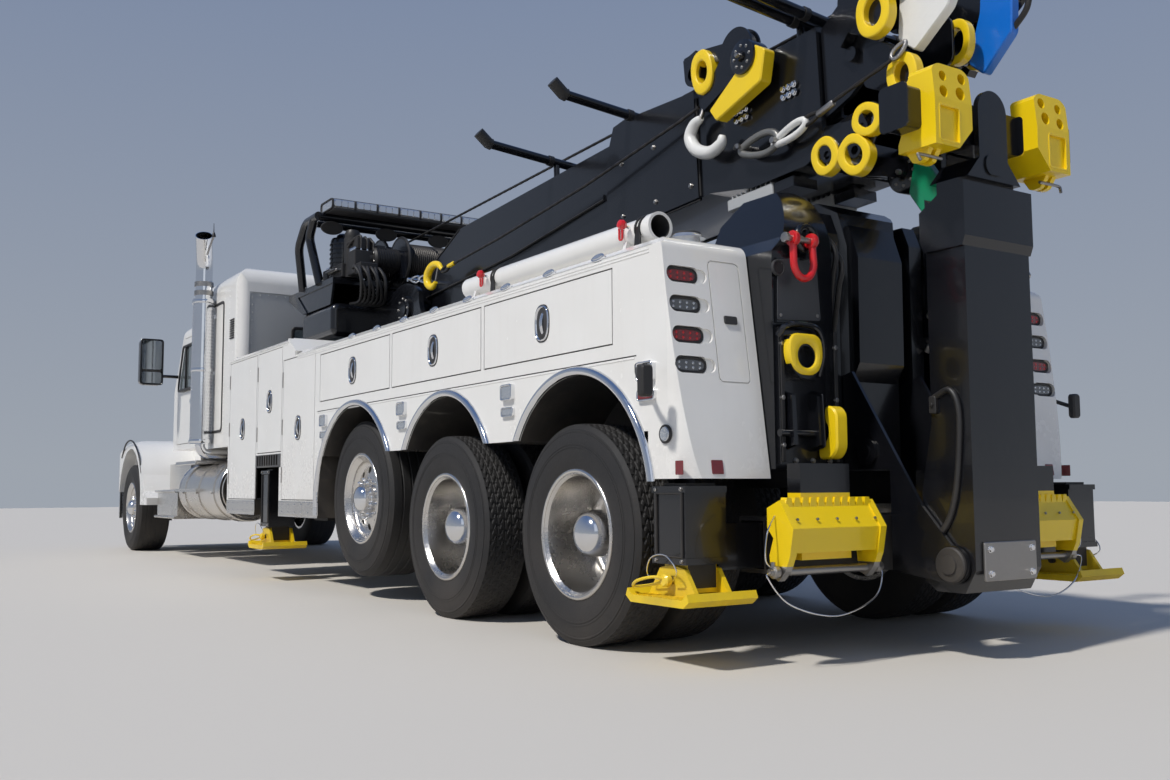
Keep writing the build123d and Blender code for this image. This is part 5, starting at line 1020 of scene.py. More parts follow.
# the head's own pieces are placed in the truck's frame: outlines are (X, Z) of a face that stands across Y
guardRows = [
    # name, finish, body, low and high Y, outline
    ("headGuardWhite", "guardWhite", "boom_inner", (0.235, 0.29),
     [(-1.2, 3.06), (-1.47, 3.06), (-1.475, 2.8), (-1.441, 2.734), (-1.261, 2.6), (-1.17, 2.681)]),
    ("headGuardBlue", "bluePaint", "boom_inner", (-0.245, -0.19),
     [(-1.235, 2.885), (-1.25, 3.06), (-1.4, 3.06), (-1.41, 2.9), (-1.403, 2.747), (-1.247, 2.596), (-1.166, 2.671),
      (-1.217, 2.836)]),
    ("tipGuardGreen", "greenPaint", "boom", (-0.005, 0.045),
     [(-1.036, 2.237), (-1.081, 2.221), (-1.134, 2.142), (-1.191, 2.056), (-1.177, 1.982), (-1.097, 1.917),
      (-0.994, 2.064)]),
    ("sideGuard", "yellowPaint", "boom", (0.35, 0.425),
     [(-0.462, 2.855), (-0.429, 2.703), (-0.088, 2.598), (-0.034, 2.668), (-0.238, 2.8), (-0.38, 2.906)])]
for name, finish, body, (low, high), flat in guardRows:
    place(name, plate(rounded(flat, 0.016, 4), low, high, "y", 0.006), finish, body, name == "sideGuard")
hoseEdge = smooth([(-1.47, -0.22, 3.02), (-1.482, -0.22, 2.95), (-1.474, -0.22, 2.868), (-1.452, -0.22, 2.82),
                   (-1.388, -0.22, 2.765)], 6)
place("guardHose", tube(hoseEdge, 0.014, 12), "hoseRubber", "boom_inner")
headAxle = (-1.31, 0, 2.98)   # of the two head wheels
armFlat = rounded([(-0.94, 3.075), (-1.33, 3.075), (-1.41, 3.02), (-1.41, 2.95), (-1.33, 2.895), (-0.94, 2.8)], 0.03)
for hand in (1, -1):
    label = "Left" if hand > 0 else "Right"
    plates = [plate(armFlat, *sorted((hand * y, hand * (y + 0.016))), "y", 0.003) for y in (0.208, 0.3)]
    place("headArm" + label, plates, "blackPaint", "boom_inner")
    wheel = turned(capped((hand * 0.225, 0.105), (hand * 0.233, 0.128), (hand * 0.245, 0.112), (hand * 0.275, 0.112),
                          (hand * 0.287, 0.128), (hand * 0.295, 0.105)), headAxle, "y", 44)
    place("headWheel" + label, wheel, "blackPaint", "boom_inner")
    pin = turned(capped((hand * 0.195, 0.03), (hand * 0.33, 0.03), (hand * 0.336, 0.022)), headAxle, "y", 28)
    place("headPin" + label, pin, "bareSteel", "boom_inner")
place("tipCheek", cheekDisc(tipSheave, 0.092, 0.036), "blackPaint", "boom")
place("tipNuts", [cheekNuts(tipSheave, 0.092, 0.036), mirrored(cheekNuts(tipSheave, 0.092, 0.036))], "bareSteel",
      "boom")


eyeRows = [
    # name, body, place, size, hole, thickness, lean
    ("lowEyeA", "boom", (-0.745, 0.3, 2.262), (0.165, 0.185), (0.086, 0.104), 0.056, 24.0),
    ("lowEyeB", "boom", (-0.925, 0.3, 2.222), (0.175, 0.205), (0.094, 0.118), 0.056, 46.0),
    ("lowEyeC", "boom", (-1.005, 0.3, 2.365), (0.15, 0.175), (0.074, 0.092), 0.052, 68.0),
    ("bigEye", "boom_inner", (-1.115, 0.36, 2.806), (0.19, 0.225), (0.1, 0.13), 0.06, 8.0),
    ("headEye", "boom_inner", (-1.231, 0.32, 2.495), (0.165, 0.19), (0.078, 0.112), 0.056, 12.0)]
for name, body, at, size, hole, thick, lean in eyeRows:
    place(name, castEye(at, size, hole, thick, lean), "yellowPaint", body, name != "headEye")
place("farEye", castEye((-1.185, -0.1, 2.746), (0.16, 0.21), (0.09, 0.13), 0.05, 0.0), "yellowPaint", "boom_inner")
lugRows = [
    # name, body, low and high Y, outline of the black lug that carries an eye
    ("bigLug", "boom_inner", (0.3, 0.352),
     [(-0.93, 3.0), (-1.06, 3.0), (-1.175, 2.86), (-1.16, 2.76), (-1.06, 2.72), (-0.93, 2.78)]),
    ("headLug", "boom_inner", (0.285, 0.306),
     [(-0.98, 2.7), (-1.1, 2.7), (-1.29, 2.56), (-1.29, 2.46), (-1.18, 2.42), (-0.98, 2.52)]),
    ("lowLug", "boom", (0.27, 0.286),
     [(-0.64, 2.38), (-1.02, 2.46), (-1.08, 2.38), (-0.98, 2.2), (-0.88, 2.17), (-0.7, 2.22)])]
for name, body, (low, high), flat in lugRows:
    place(name, plate(rounded(flat, 0.03), low, high, "y", 0.003), "blackPaint", body, name != "headLug")
farLug = rounded([(-0.95, 2.9), (-1.14, 2.9), (-1.19, 2.84), (-1.19, 2.66), (-1.12, 2.62), (-0.95, 2.66)], 0.03)
place("farLug", plate(farLug, -0.072, -0.056, "y", 0.003), "blackPaint", "boom_inner")
print("guards and eyes done")

# bolt groups, weld beads, rod sleeves and the work lights under the tip
tipBolts = [(x - 0.038 * (k % 3), 0.323, 0.25 + 0.04 * (k // 3)) for x in (-3.9, -4.25) for k in range(6)]
pair("tipBolts", onBoom(bolts("y", 0.0145, 0.012, tipBolts)), "chrome", "boom")
collarBolts = [(x, 0.318, z) for x in (-2.86, -3.18, -3.5) for z in (0.02, 0.34)]
pair("collarBolts", onBoom(bolts("y", 0.013, 0.011, collarBolts)), "bareSteel", "boom")
weldRuns = [
    [(-2.698, 0.303, -0.05), (-2.698, 0.303, 0.39), (-2.79, 0.303, 0.497)],
    [(-3.562, 0.303, -0.05), (-3.562, 0.303, 0.497)], [(-3.642, 0.3, 0.503), (-3.642, 0.3, -0.05)],
    [(-0.7, 0.301, 0.497), (-0.04, 0.301, 0.262)],
    [(-0.12, 0.312, 0.083), (-1.5, 0.312, 0.102), (-2.65, 0.312, 0.182)]]
beads = [tube(boomPath(path), 0.006, 8) for path in weldRuns]
pair("boomWelds", beads, "satinBlack", "boom")
lowEdges = [tube([boomSpot(x0, 0.292, -0.063), boomSpot(x1, 0.292, -0.063)], 0.008, 8)
            for x0, x1 in ((-0.1, -2.68), (-2.72, -3.55))]
pair("lowerChord", lowEdges, "blackPaint", "boom")
sleeves = []
for x in (-2.06, -2.96, -4.34, -4.42):
    sleeves.append(tube([boomSpot(x, 0.755, 0.648), boomSpot(x, 0.775, 0.652), boomSpot(x, 0.845, 0.712)],
                        0.037, 14))
    sleeves.append(tube([boomSpot(x, 0.3, 0.6073), boomSpot(x, 0.335, 0.6105)], 0.034, 14))
pair("hangerSleeves", sleeves, "hoseRubber", "boom")
posts = [tube([boomSpot(x, 0.27, 0.49), boomSpot(x, 0.27, 0.6)], 0.02, 12) for x in (-2.06, -2.96, -4.34)]
pair("hangerPosts", posts, "blackPaint", "boom")
workBar = plate(panel(-4.11, -3.768, 0.118, 0.302, 0.012), -0.196, -0.136, "z", 0.004)
pair("workBar", onBoom(workBar), "greyPanel", "boom")
fins = [plate(panel(x - 0.004, x + 0.004, 0.128, 0.292, 0.003, 3), -0.142, -0.118, "z", 0.001)
        for x in np.linspace(-4.09, -3.8, 9)]
pair("workBarFins", onBoom(join(*fins)), "greyPanel", "boom")
cells = [plate(panel(x - 0.03, x + 0.03, 0.14, 0.28, 0.01), -0.201, -0.193, "z", 0.002)
         for x in np.linspace(-4.07, -3.82, 4)]
pair("workBarLens", onBoom(join(*cells)), "lensClear", "boom")
print("boom trimmed")

# rigging: a stowed half hook, links on the boom's side and the ropes
hookPath = smooth([(0.075, 0.385, 2.668), (0.138, 0.385, 2.648), (0.172, 0.385, 2.585), (0.12, 0.385, 2.508),
                   (0.012, 0.385, 2.465), (-0.075, 0.385, 2.487), (-0.092, 0.385, 2.53)], 6)
share = np.linspace(0, 1, len(hookPath))
pair("halfHook", tube(hookPath, 0.016 + 0.02 * np.sin(share * math.pi) ** 0.6, 16), "guardWhite", "boom")
pair("hookShank", hose([(0.085, 0.385, 2.665), (0.075, 0.37, 2.72), (0.06, 0.362, 2.8)], 0.012, 12, 5), "bareSteel",
     "boom")


# A pear-shaped ring between two points, wide by width
def link(a, b, width, radius):
    a, b = np.array(a, float), np.array(b, float)
    along = b - a
    across = np.cross(along / np.linalg.norm(along), (0, 1.0, 0))
    t = around(36)[:, None]
    spine = a + along * (0.5 - 0.5 * np.cos(t)) + across * width / 2 * np.sin(t) * (0.75 + 0.25 * np.cos(t))
    return tube(spine, radius, 12, True)


place("whiteLink", onBoom(link((-4.435, 0.37, 0.055), (-4.215, 0.37, 0.015), 0.072, 0.017)), "guardWhite", "boom")
place("greyLink", onBoom(link((-4.245, 0.37, 0.035), (-3.975, 0.37, 0.055), 0.13, 0.018)), "castGrey", "boom")
linkPins = join(rod((-4.235, 0.335, 0.026), (-4.235, 0.405, 0.026), 0.016, 12),
                rod((-3.985, 0.31, 0.075), (-3.985, 0.405, 0.075), 0.013, 12),
                hose([(-3.985, 0.36, 0.075), (-3.94, 0.365, 0.1), (-3.9, 0.345, 0.098)], 0.009, 10, 5))
place("linkPins", onBoom(linkPins), "bareSteel", "boom")
ferrule = capped((0, 0.013), (0.008, 0.017), (0.1, 0.017), (0.108, 0.013))
place("ferrule", onBoom(turned(ferrule, (-4.515, 0.37, 0.06), (-0.975, 0, 0.22), 16)), "bareSteel", "boom")
place("thimble", onBoom(link((-4.415, 0.37, 0.05), (-4.525, 0.37, 0.066), 0.05, 0.01)), "wireRope", "boom")
tie = np.concatenate([[boomSpot(-4.6, 0.37, 0.085)], line(boomSpot(-4.64, 0.37, 0.095), (-1.195, 0.372, 2.556), 12),
                      [(-1.215, 0.365, 2.575)]])


# A laid rope through points of the truck, with its strands
def rope(path):
    path = np.array(path, float)
    gap = np.linalg.norm(np.diff(path, axis=0), axis=1)
    run = np.concatenate([[0], np.cumsum(gap)])
    even = np.linspace(0, run[-1], max(int(run[-1] / 0.012), 4))
    fine = np.stack([np.interp(even, run, path[:, k]) for k in range(3)], axis=1)
    return tube(fine, headSet["rope"], 12, False, headSet["strands"], headSet["lay"])


def shareOut(name, path):
    place(name, rope(path), "wireRope", None)
    piece = bpy.data.objects[name]
    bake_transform(piece)


shareOut("tieRope", tie)
place("tieEye", link((-1.205, 0.368, 2.566), (-1.265, 0.35, 2.625), 0.055, 0.01), "bareSteel", "boom_inner")
ropeRows = [
    # name, drum X, Y, Z of the leaving point, Y over the boom, level Z over the boom, head sheave Y
    ("upper", 4.62, 0.1, 2.868, 0.12, 0.655, 0.13), ("lower", 4.18, -0.12, 2.8, -0.12, 0.6, -0.13)]
for name, x, y, z, over, high, headY in ropeRows:
    mid = boomSpot(-3.05, over, high + 0.01)
    leave = np.array([x, y, z])
    first = line(leave, mid, 60)
    shareOut(name + "RopeA", first)
    arc = np.linspace(math.pi / 2, math.pi * 1.15, 14)
    crown = np.stack([-4.77 + 0.098 * np.cos(arc), np.full(14, headY), 0.54 + 0.098 * np.sin(arc)], axis=1)
    crown = boomPath(crown)
    second = np.concatenate([line(mid, crown[0], 40), crown[1:]])
    shareOut(name + "RopeB", second)
sideRope = boomPath([(-0.86, 0.485, 0.15), (-1.6, 0.46, 0.185), (-2.6, 0.42, 0.262), (-3.5, 0.375, 0.375),
                     (-3.66, 0.368, 0.4)])
pair("sideRope", rope(sideRope), "wireRope", "boom")
pair("sideThimble", onBoom(link((-0.88, 0.485, 0.15), (-0.76, 0.485, 0.14), 0.05, 0.011)), "wireRope", "boom")
pair("sideFerrule", onBoom(turned(capped((0, 0.012), (0.008, 0.0165), (0.09, 0.0165), (0.098, 0.012)),
                                  (-0.865, 0.485, 0.151), (-1, -0.03, 0.05), 16)), "yellowPaint", "boom")
yellowHook = smooth([(-0.77, 0.485, 0.15), (-0.7, 0.485, 0.205), (-0.6, 0.485, 0.215), (-0.52, 0.485, 0.165),
                     (-0.52, 0.485, 0.095), (-0.59, 0.485, 0.055), (-0.66, 0.485, 0.08)], 6)
share = np.linspace(0, 1, len(yellowHook))
pair("yellowHook", onBoom(tube(yellowHook, 0.014 + 0.018 * np.sin(share * math.pi) ** 0.8, 14)), "yellowPaint",
     "boom")
pair("hookLatch", onBoom(rod((-0.655, 0.485, 0.09), (-0.7, 0.485, 0.185), 0.008, 10)), "bareSteel", "boom")
pair("sideLinks", onBoom(join(link((-0.53, 0.485, 0.135), (-0.36, 0.485, 0.165), 0.07, 0.01),
                              link((-0.375, 0.485, 0.165), (-0.21, 0.485, 0.19), 0.06, 0.01),
                              rod((-0.215, 0.3, 0.19), (-0.215, 0.515, 0.19), 0.016, 12))), "chrome", "boom")
print("rigging done")

# winches: wound rope, drum rims, motors, valves and hoses
winchRows = [(4.7, 2.7, 0.15), (4.26, 2.64, 0.15)]   # X, Z and radius of the drum
winchSet = {"turns": 27, "fins": 9}
for k, (x, z, r) in enumerate(winchRows):
    n = winchSet["turns"]
    along = np.linspace(-0.25, 0.25, n * 6 + 1)
    lift = r + 0.004 + 0.0085 * np.abs(np.sin(np.linspace(0, n * math.pi, n * 6 + 1)))
    pack = turned(np.concatenate([[(-0.251, r - 0.02)], np.stack([along, lift], axis=1), [(0.251, r - 0.02)]]),
                  (x, 0, z), "y", 40)
    place("ropePack" + str(k), pack, "wireRope", "turret")
    rims = [turned([(y - 0.012, r + 0.052), (y - 0.012, r + 0.064), (y, r + 0.069), (y + 0.012, r + 0.064),
                    (y + 0.012, r + 0.052)], (x, 0, z), "y", 56) for y in (-0.27, 0.27)]
    place("drumRims" + str(k), rims, "satinBlack", "turret")
    for hand in (1, -1):
        y0 = 0.305 * hand
        motor = []
        for y in y0 + hand * (0.02 + 0.022 * np.arange(winchSet["fins"])):
            motor.append(turned([(y - 0.006, 0.09), (y - 0.005, 0.104), (y + 0.005, 0.104), (y + 0.006, 0.09)],
                                (x, 0, z), "y", 36))
        motor.append(turned([(y0, 0), (y0, 0.098), (y0 + hand * 0.205, 0.098), (y0 + hand * 0.222, 0.08),
                             (y0 + hand * 0.226, 0.05), (y0 + hand * 0.25, 0.046), (y0 + hand * 0.255, 0)],
                            (x, 0, z), "y", 36))
        place("motor" + str(k) + ("Left" if hand > 0 else "Right"), motor, "satinBlack", "turret")
        heads = [(x + 0.072 * math.cos(t), y0 + 0.222 * hand, z + 0.072 * math.sin(t))
                 for t in np.linspace(0.4, 6.7, 7)[:-1]]
        motorBolt = bolt("y", 0.009, 0.008)
        place("motorBolts" + str(k) + ("Left" if hand > 0 else "Right"),
              copies(motorBolt if hand > 0 else mirrored(motorBolt), heads), "bareSteel", "turret")
can = (4.72, 0.6, 0)
canister = [turned(capped((2.5, 0.1), (2.515, 0.108), (2.86, 0.108), (2.885, 0.098), (2.892, 0.06), (2.915, 0.055),
                          (2.93, 0.035), (2.932, 0)), can, "z", 40)]
canister += [turned([(z, 0.1), (z + 0.005, 0.115), (z + 0.015, 0.115), (z + 0.02, 0.1)], can, "z", 40)
             for z in 2.54 + 0.04 * np.arange(8)]
pair("canister", canister, "blackPaint", "turret")
filterParts = [turned(capped(*rows), (4.45, 0.62, 0), "z", 28) for rows in (
    ((2.84, 0.062), (2.875, 0.066), (2.905, 0.052), (2.918, 0)), ((2.5, 0.07), (2.84, 0.07), (2.845, 0)))]
pair("filter", filterParts, "hoseRubber", "turret")
blockRows = [
    # middle X, Y, Z, then size in X, Y and Z
    (4.55, 0.62, 2.56, 0.24, 0.2, 0.12), (4.3, 0.58, 2.6, 0.16, 0.22, 0.2), (4.18, 0.6, 2.535, 0.12, 0.16, 0.09),
    (4.86, 0.58, 2.56, 0.12, 0.26, 0.13), (4.3, 0.6, 2.76, 0.1, 0.12, 0.1)]
blocks = [plate(panel(x - w / 2, x + w / 2, y - d / 2, y + d / 2, 0.012), z - h / 2, z + h / 2, "z", 0.006)
          for x, y, z, w, d, h in blockRows]
pair("valveBlocks", blocks, "satinBlack", "turret")
fittings = [(4.24 + 0.032 * j, 0.515 + 0.055 * i, 2.702) for j in range(4) for i in range(4)]
fittings += [(4.8 + 0.03 * j, 0.48 + 0.05 * i, 2.626) for j in range(4) for i in range(5)]
pair("fittings", bolts("z", 0.01, 0.022, fittings), "chrome", "turret")
spools = [(4.46 + 0.034 * j, 0.725, 2.56) for j in range(6)]
spool = turned(capped((-0.01, 0.013), (0.035, 0.013), (0.04, 0.009), (0.06, 0.009), (0.062, 0)), (0, 0, 0), "y", 12)
pair("spools", copies(spool, spools), "bareSteel", "turret")
hoses = []
for j in range(12):
    t = j / 11
    a = (4.24 + 0.03 * (j % 4), 0.515 + 0.055 * (j // 4), 2.715)
    b = (4.34 + 0.05 * j, 0.3 + 0.03 * (j % 3), 2.53)
    hoses.append(hose([a, (a[0] + 0.02, a[1], a[2] + 0.07 + 0.02 * (j % 3)),
                       (a[0] + 0.12 + 0.03 * t, a[1] + 0.05 - 0.03 * (j % 2), a[2] + 0.05),
                       ((a[0] + b[0]) / 2 + 0.14, (a[1] + b[1]) / 2 + 0.1, 2.66 - 0.02 * (j % 4)),
                       (b[0] + 0.02, b[1] + 0.02, b[2] + 0.07), b], 0.0105, 10, 7))
for j in range(7):
    y = 0.5 + 0.035 * j
    hoses.append(hose([(4.2, y, 2.535), (4.1, y + 0.02, 2.53), (4.03, y + 0.03 * (j % 2), 2.44),
                       (4.06, y - 0.02, 2.33), (4.18, y - 0.05, 2.26), (4.4, y - 0.06, 2.27)], 0.0125, 10, 7))
pair("hoses", hoses, "hoseRubber", "turret")
pipes = [hose([(4.3, 0.462, z), (4.6, 0.462, z + 0.01), (4.95, 0.462, z + 0.05), (5.12, 0.47, z + 0.1),
               (5.16, 0.5, 2.49)], 0.008, 10) for z in 2.335 + 0.03 * np.arange(4)]
pair("steelPipes", pipes, "bareSteel", "turret")
knob = [(2.716, 0), (2.722, 0.011), (2.735, 0.017), (2.75, 0.017), (2.762, 0.01), (2.766, 0)]
place("leverKnobs", [turned(knob, (5.13, -0.56 + 0.06 * j, 0), "z", 16) for j in range(6)], "hoseRubber", "turret")
# light bar: dark dividers, cap and base round the clear modules; lamps under the hoop
barRim = panel(4.436, 4.724, 3.078, 3.169, 0.034)
dividers = [washer(barRim, inset(barRim, 0.01), y - 0.01, y + 0.01, "y", 0.002) for y in -0.8 + 0.2 * np.arange(9)]
place("barDividers", dividers, "darkTrim", "turret")
place("barCap", plate(panel(4.47, 4.69, -0.79, 0.79, 0.03), 3.16, 3.172, "z", 0.004), "darkTrim", "turret")
place("barBase", plate(panel(4.45, 4.71, -0.79, 0.79, 0.03), 3.07, 3.09, "z", 0.004), "darkTrim", "turret")
cells = []
for j in range(8):
    y = -0.7 + 0.2 * j
    for x in (4.4365, 4.7235):
        for i in range(3):
            flat = panel(y - 0.085 + 0.058 * i, y - 0.037 + 0.058 * i, 3.098, 3.15, 0.008)
            cells.append(plate(flat, x - 0.003, x + 0.003, "x", 0.001))
place("barCells", cells, "chrome", "turret")
for k, (x, y, z) in enumerate(((4.66, 0.745, 2.955), (4.66, 0.25, 2.955))):
    shell = turned(capped((-0.03, 0.03), (0.0, 0.05), (0.045, 0.078), (0.055, 0.08), (0.06, 0.074), (0.056, 0)),
                   (0, 0, 0), (-1, 0, -0.25), 32)
    spots = shell[0] * np.array([1.0, 1.25, 0.7]) + np.array([x, y, z])
    pair("hoopLamp" + str(k), (spots, shell[1]), "hoseRubber", "turret")
    stay = rod((x, y, z + 0.02), (x, y, 3.02), 0.012, 10)
    pair("hoopStay" + str(k), stay, "satinBlack", "turret")
hoopPlates = [plate(panel(cx - 0.07, cx + 0.07, 0.73, 0.795, 0.01), 2.489, 2.502, "z", 0.003)
              for cx in (5.19, 4.76)]
pair("hoopFeet", hoopPlates, "blackPaint", "turret")
feet = [(cx + dx, y, 2.502) for cx in (5.19, 4.76) for dx in (-0.055, 0.055) for y in (0.742, 0.783)]
pair("hoopBolts", bolts("z", 0.009, 0.008, feet), "bareSteel", "turret")
cheekBolts = [(3.75 + 0.085 * math.cos(t), 0.4625, 2.15 + 0.085 * math.sin(t))
              for t in around(8)]
pair("pinBolts", bolts("y", 0.009, 0.008, cheekBolts), "bareSteel", "turret")
coverSeams = [tube([(4.415, y, 2.02), (4.415, y, 2.25)], 0.004, 8) for y in (-0.4, 0.0, 0.4)]
place("coverSeams", coverSeams, "satinBlack", "turret")
print("turret dressed")


# underlift: heel plate, bracket, hose, pivot caps and the fork holders' rims
heel = {"x": -1.425, "half": 0.17, "low": 0.335, "high": 0.495}
place("heelPlate", plate(panel(-heel["half"], heel["half"], heel["low"], heel["high"], 0.012), heel["x"] - 0.012,
                         heel["x"], "x", 0.003), "bareSteel", "underlift_boom")
heelHeads = [(heel["x"] - 0.012, y, z) for y in (-0.135, 0.135) for z in (0.365, 0.465)]
place("heelBolts", bolts("-x", 0.013, 0.012, heelHeads), "chrome", "underlift_boom")
pivotCap = turned(capped((0.236, 0.074), (0.25, 0.074), (0.256, 0.068), (0.258, 0.04), (0.266, 0.038), (0.268, 0)),
                  (-1.325, 0, 0.4), "y", 36)
pair("foldPinCap", pivotCap, "satinBlack", "underlift_boom")
bracket = plate(panel(-1.262, -1.225, 1.03, 1.106, 0.01), 0.2, 0.232, "y", 0.004)
pair("hoseBracket", [bracket, moved(bolt("y", 0.009, 0.008), (-1.244, 0.233, 1.068))], "satinBlack", "underlift_boom")
pair("legHose", hose([(-1.244, 0.215, 1.1), (-1.33, 0.222, 1.125), (-1.372, 0.222, 1.04), (-1.366, 0.222, 0.86),
                      (-1.34, 0.222, 0.68), (-1.29, 0.222, 0.56), (-1.205, 0.222, 0.49), (-1.15, 0.222, 0.47)],
                     0.0135, 12, 7), "hoseRubber", "underlift_boom")
# fork holders: a thin bead round each sunk panel and a split pin through the eyes below
sunk = panel(0.297, 0.428, 2.119, 2.276, 0.016)
pair("forkBead", washer(sunk, inset(sunk, 0.008), -1.4925, -1.488, "x", 0.001), "yellowPaint", "crossbar")
eyePin = hose([(-1.415, 0.33, 2.075), (-1.415, 0.462, 2.075), (-1.42, 0.474, 2.062), (-1.425, 0.47, 2.045)], 0.007,
              10)
pair("forkPin", eyePin, "bareSteel", "crossbar")
print("underlift dressed")


# front: fuel tanks, steps, stacks, mirrors, door glass, lamps and brightwork
front = {"tankY": 0.9, "tankZ": 0.72, "tankR": 0.29, "straps": (6.52, 7.08, 7.62), "stackX": 7.0, "stackY": 1.2,
         "shieldR": 0.102, "shield": (1.18, 2.64)}
for k, x in enumerate(front["straps"]):
    r = front["tankR"]
    band = turned([(-0.028, r - 0.01), (-0.026, r + 0.008), (0.026, r + 0.008), (0.028, r - 0.01)],
                  (x, front["tankY"], front["tankZ"]), "x", 64)
    pair("tankBand" + str(k), band, "polished")
    pins = bolts("y", 0.01, 0.012, [(x, front["tankY"] + r + 0.007, front["tankZ"] - 0.02)])
    pair("bandBolt" + str(k), pins, "bareSteel")
endRings = [turned([(s * -0.01, front["tankR"] - 0.006), (s * 0.004, front["tankR"] + 0.004),
                    (s * 0.012, front["tankR"] - 0.004), (s * 0.012, front["tankR"] - 0.02)],
                   (x, front["tankY"], front["tankZ"]), "x", 64) for x, s in ((6.302, -1), (7.848, 1))]
pair("tankRims", endRings, "polished")
fuelCap = turned(capped((0.0, 0.062), (0.03, 0.066), (0.036, 0.06), (0.044, 0.058), (0.056, 0.046), (0.06, 0)),
                 (6.46, front["tankY"] + 0.1, 0.985), (0, 0.4, 1), 32)
pair("tankCap", fuelCap, "chrome")


# A chequered tread: rows of small raised diamonds over a flat plate
def treadPlate(x0, x1, y0, y1, z, pitch=0.045):
    gx, gy = np.meshgrid(np.arange(x0 + pitch / 2, x1, pitch), np.arange(y0 + pitch / 2, y1, pitch), indexing="ij")
    turn = ((np.indices(gx.shape).sum(axis=0) % 2) * 2 - 1).ravel()
    centre = np.stack([gx.ravel(), gy.ravel()], axis=1)
    along = np.stack([np.full(len(turn), 0.7071), 0.7071 * turn], axis=1)
    across = np.stack([-along[:, 1], along[:, 0]], axis=1)
    a, b = pitch * 0.36, pitch * 0.13
    low = np.stack([centre + along * a, centre + across * b, centre - along * a, centre - across * b], axis=1)
    high = centre[:, None] + (low - centre[:, None]) * 0.6
    spots = np.concatenate([np.concatenate([low, np.full(low.shape[:2] + (1,), z)], axis=2),
                            np.concatenate([high, np.full(high.shape[:2] + (1,), z + 0.0025)], axis=2)],
                           axis=1).reshape(-1, 3)
    base = np.arange(len(turn))[:, None, None] * 8
    quad = np.array([[0, 1, 5, 4], [1, 2, 6, 5], [2, 3, 7, 6], [3, 0, 4, 7], [4, 5, 6, 7], [3, 2, 1, 0]])[None]
    return spots, (quad + base).reshape(-1, 4).tolist()


# from and to in X, from and to in Y, and Z of the plate
stepRows = [(6.99, 7.83, 0.96, 1.225, 1.0205), (8.02, 8.93, 1.05, 1.175, 0.4505), (8.02, 8.93, 1.0, 1.13, 0.7305)]
pair("stepTreads", [treadPlate(*row) for row in stepRows], "polished")
# from and to in X, Y and Z of the edge
lipRows = [(7.0, 7.82, 1.232, 1.008), (8.02, 8.93, 1.183, 0.447), (8.02, 8.93, 1.135, 0.727)]
lips = [hose([(x0, y, z - 0.014), (x1, y, z - 0.014)], 0.013, 10, 2) for x0, x1, y, z in lipRows]
pair("stepLips", lips, "polished")
# stacks: a perforated heat shield, rings and clamps, and the aerial beside them
holes = {"rows": 44, "around": 26, "radius": 0.0125}


# A shield of small raised rims: one dimple on each spot of a staggered grid round the pipe
def dimples(x, y, z0, z1, r):
    za = np.linspace(z0 + 0.03, z1 - 0.03, holes["rows"])
    ta = around(holes["around"])
    zz, tt = np.meshgrid(za, ta, indexing="ij")
    tt = tt + (np.arange(holes["rows"])[:, None] % 2) * math.pi / holes["around"]
    zz, tt = zz.ravel()[:, None], tt.ravel()[:, None]
    u = around(6)[None, :]
    rings = []
    for grow, lift in ((1.0, -0.004), (0.96, 0.0012), (0.7, 0.0012), (0.62, -0.004)):
        a = tt + holes["radius"] * grow * np.cos(u) / r
        rr = r + lift + 0 * a
        rings.append(np.stack([x + rr * np.cos(a), y + rr * np.sin(a), zz + holes["radius"] * grow * np.sin(u)],
                              axis=-1))
    spots = np.stack(rings, axis=1).reshape(-1, 3)
    cell = np.array(gridFaces(4, 6, False, True) + [[23, 22, 21, 20], [20, 19, 18, 23], [3, 2, 1, 0],
                                                    [0, 5, 4, 3]])[None]
    base = np.arange(len(zz))[:, None, None] * 24
    return spots, (cell + base).reshape(-1, 4).tolist()


x, y = front["stackX"], front["stackY"]
pair("shieldDimples", dimples(x, y, front["shield"][0], front["shield"][1], front["shieldR"]), "chrome", sharp=60.0)
rings = [turned([(z - 0.02, 0.098), (z - 0.018, 0.108), (z - 0.006, 0.111), (z + 0.006, 0.111), (z + 0.018, 0.108),
                 (z + 0.02, 0.098)], (x, y, 0), "z", 40) for z in (1.21, 1.92, 2.61)]
pair("shieldRings", rings, "chrome")
clamp = [turned([(z - 0.025, 0.08), (z - 0.022, 0.092), (z + 0.022, 0.092), (z + 0.025, 0.08)], (x, y, 0), "z", 40)
         for z in (2.7, 2.79)]
pair("stackClamps", clamp, "bareSteel")
aerial = rod((6.67, 1.2, 3.236), (6.668, 1.202, 3.352), np.linspace(0.0055, 0.0022, 6), 8, 6)
pair("aerial", [aerial, turned(capped((3.216, 0.02), (3.236, 0.018), (3.262, 0.008), (3.264, 0)), (6.67, 1.2, 0), "z",
                               20)], "hoseRubber")
arm = hose([(6.8, 1.225, 3.06), (6.74, 1.215, 3.14), (6.67, 1.2, 3.22)], 0.01, 8)
pair("aerialArm", arm, "bareSteel")
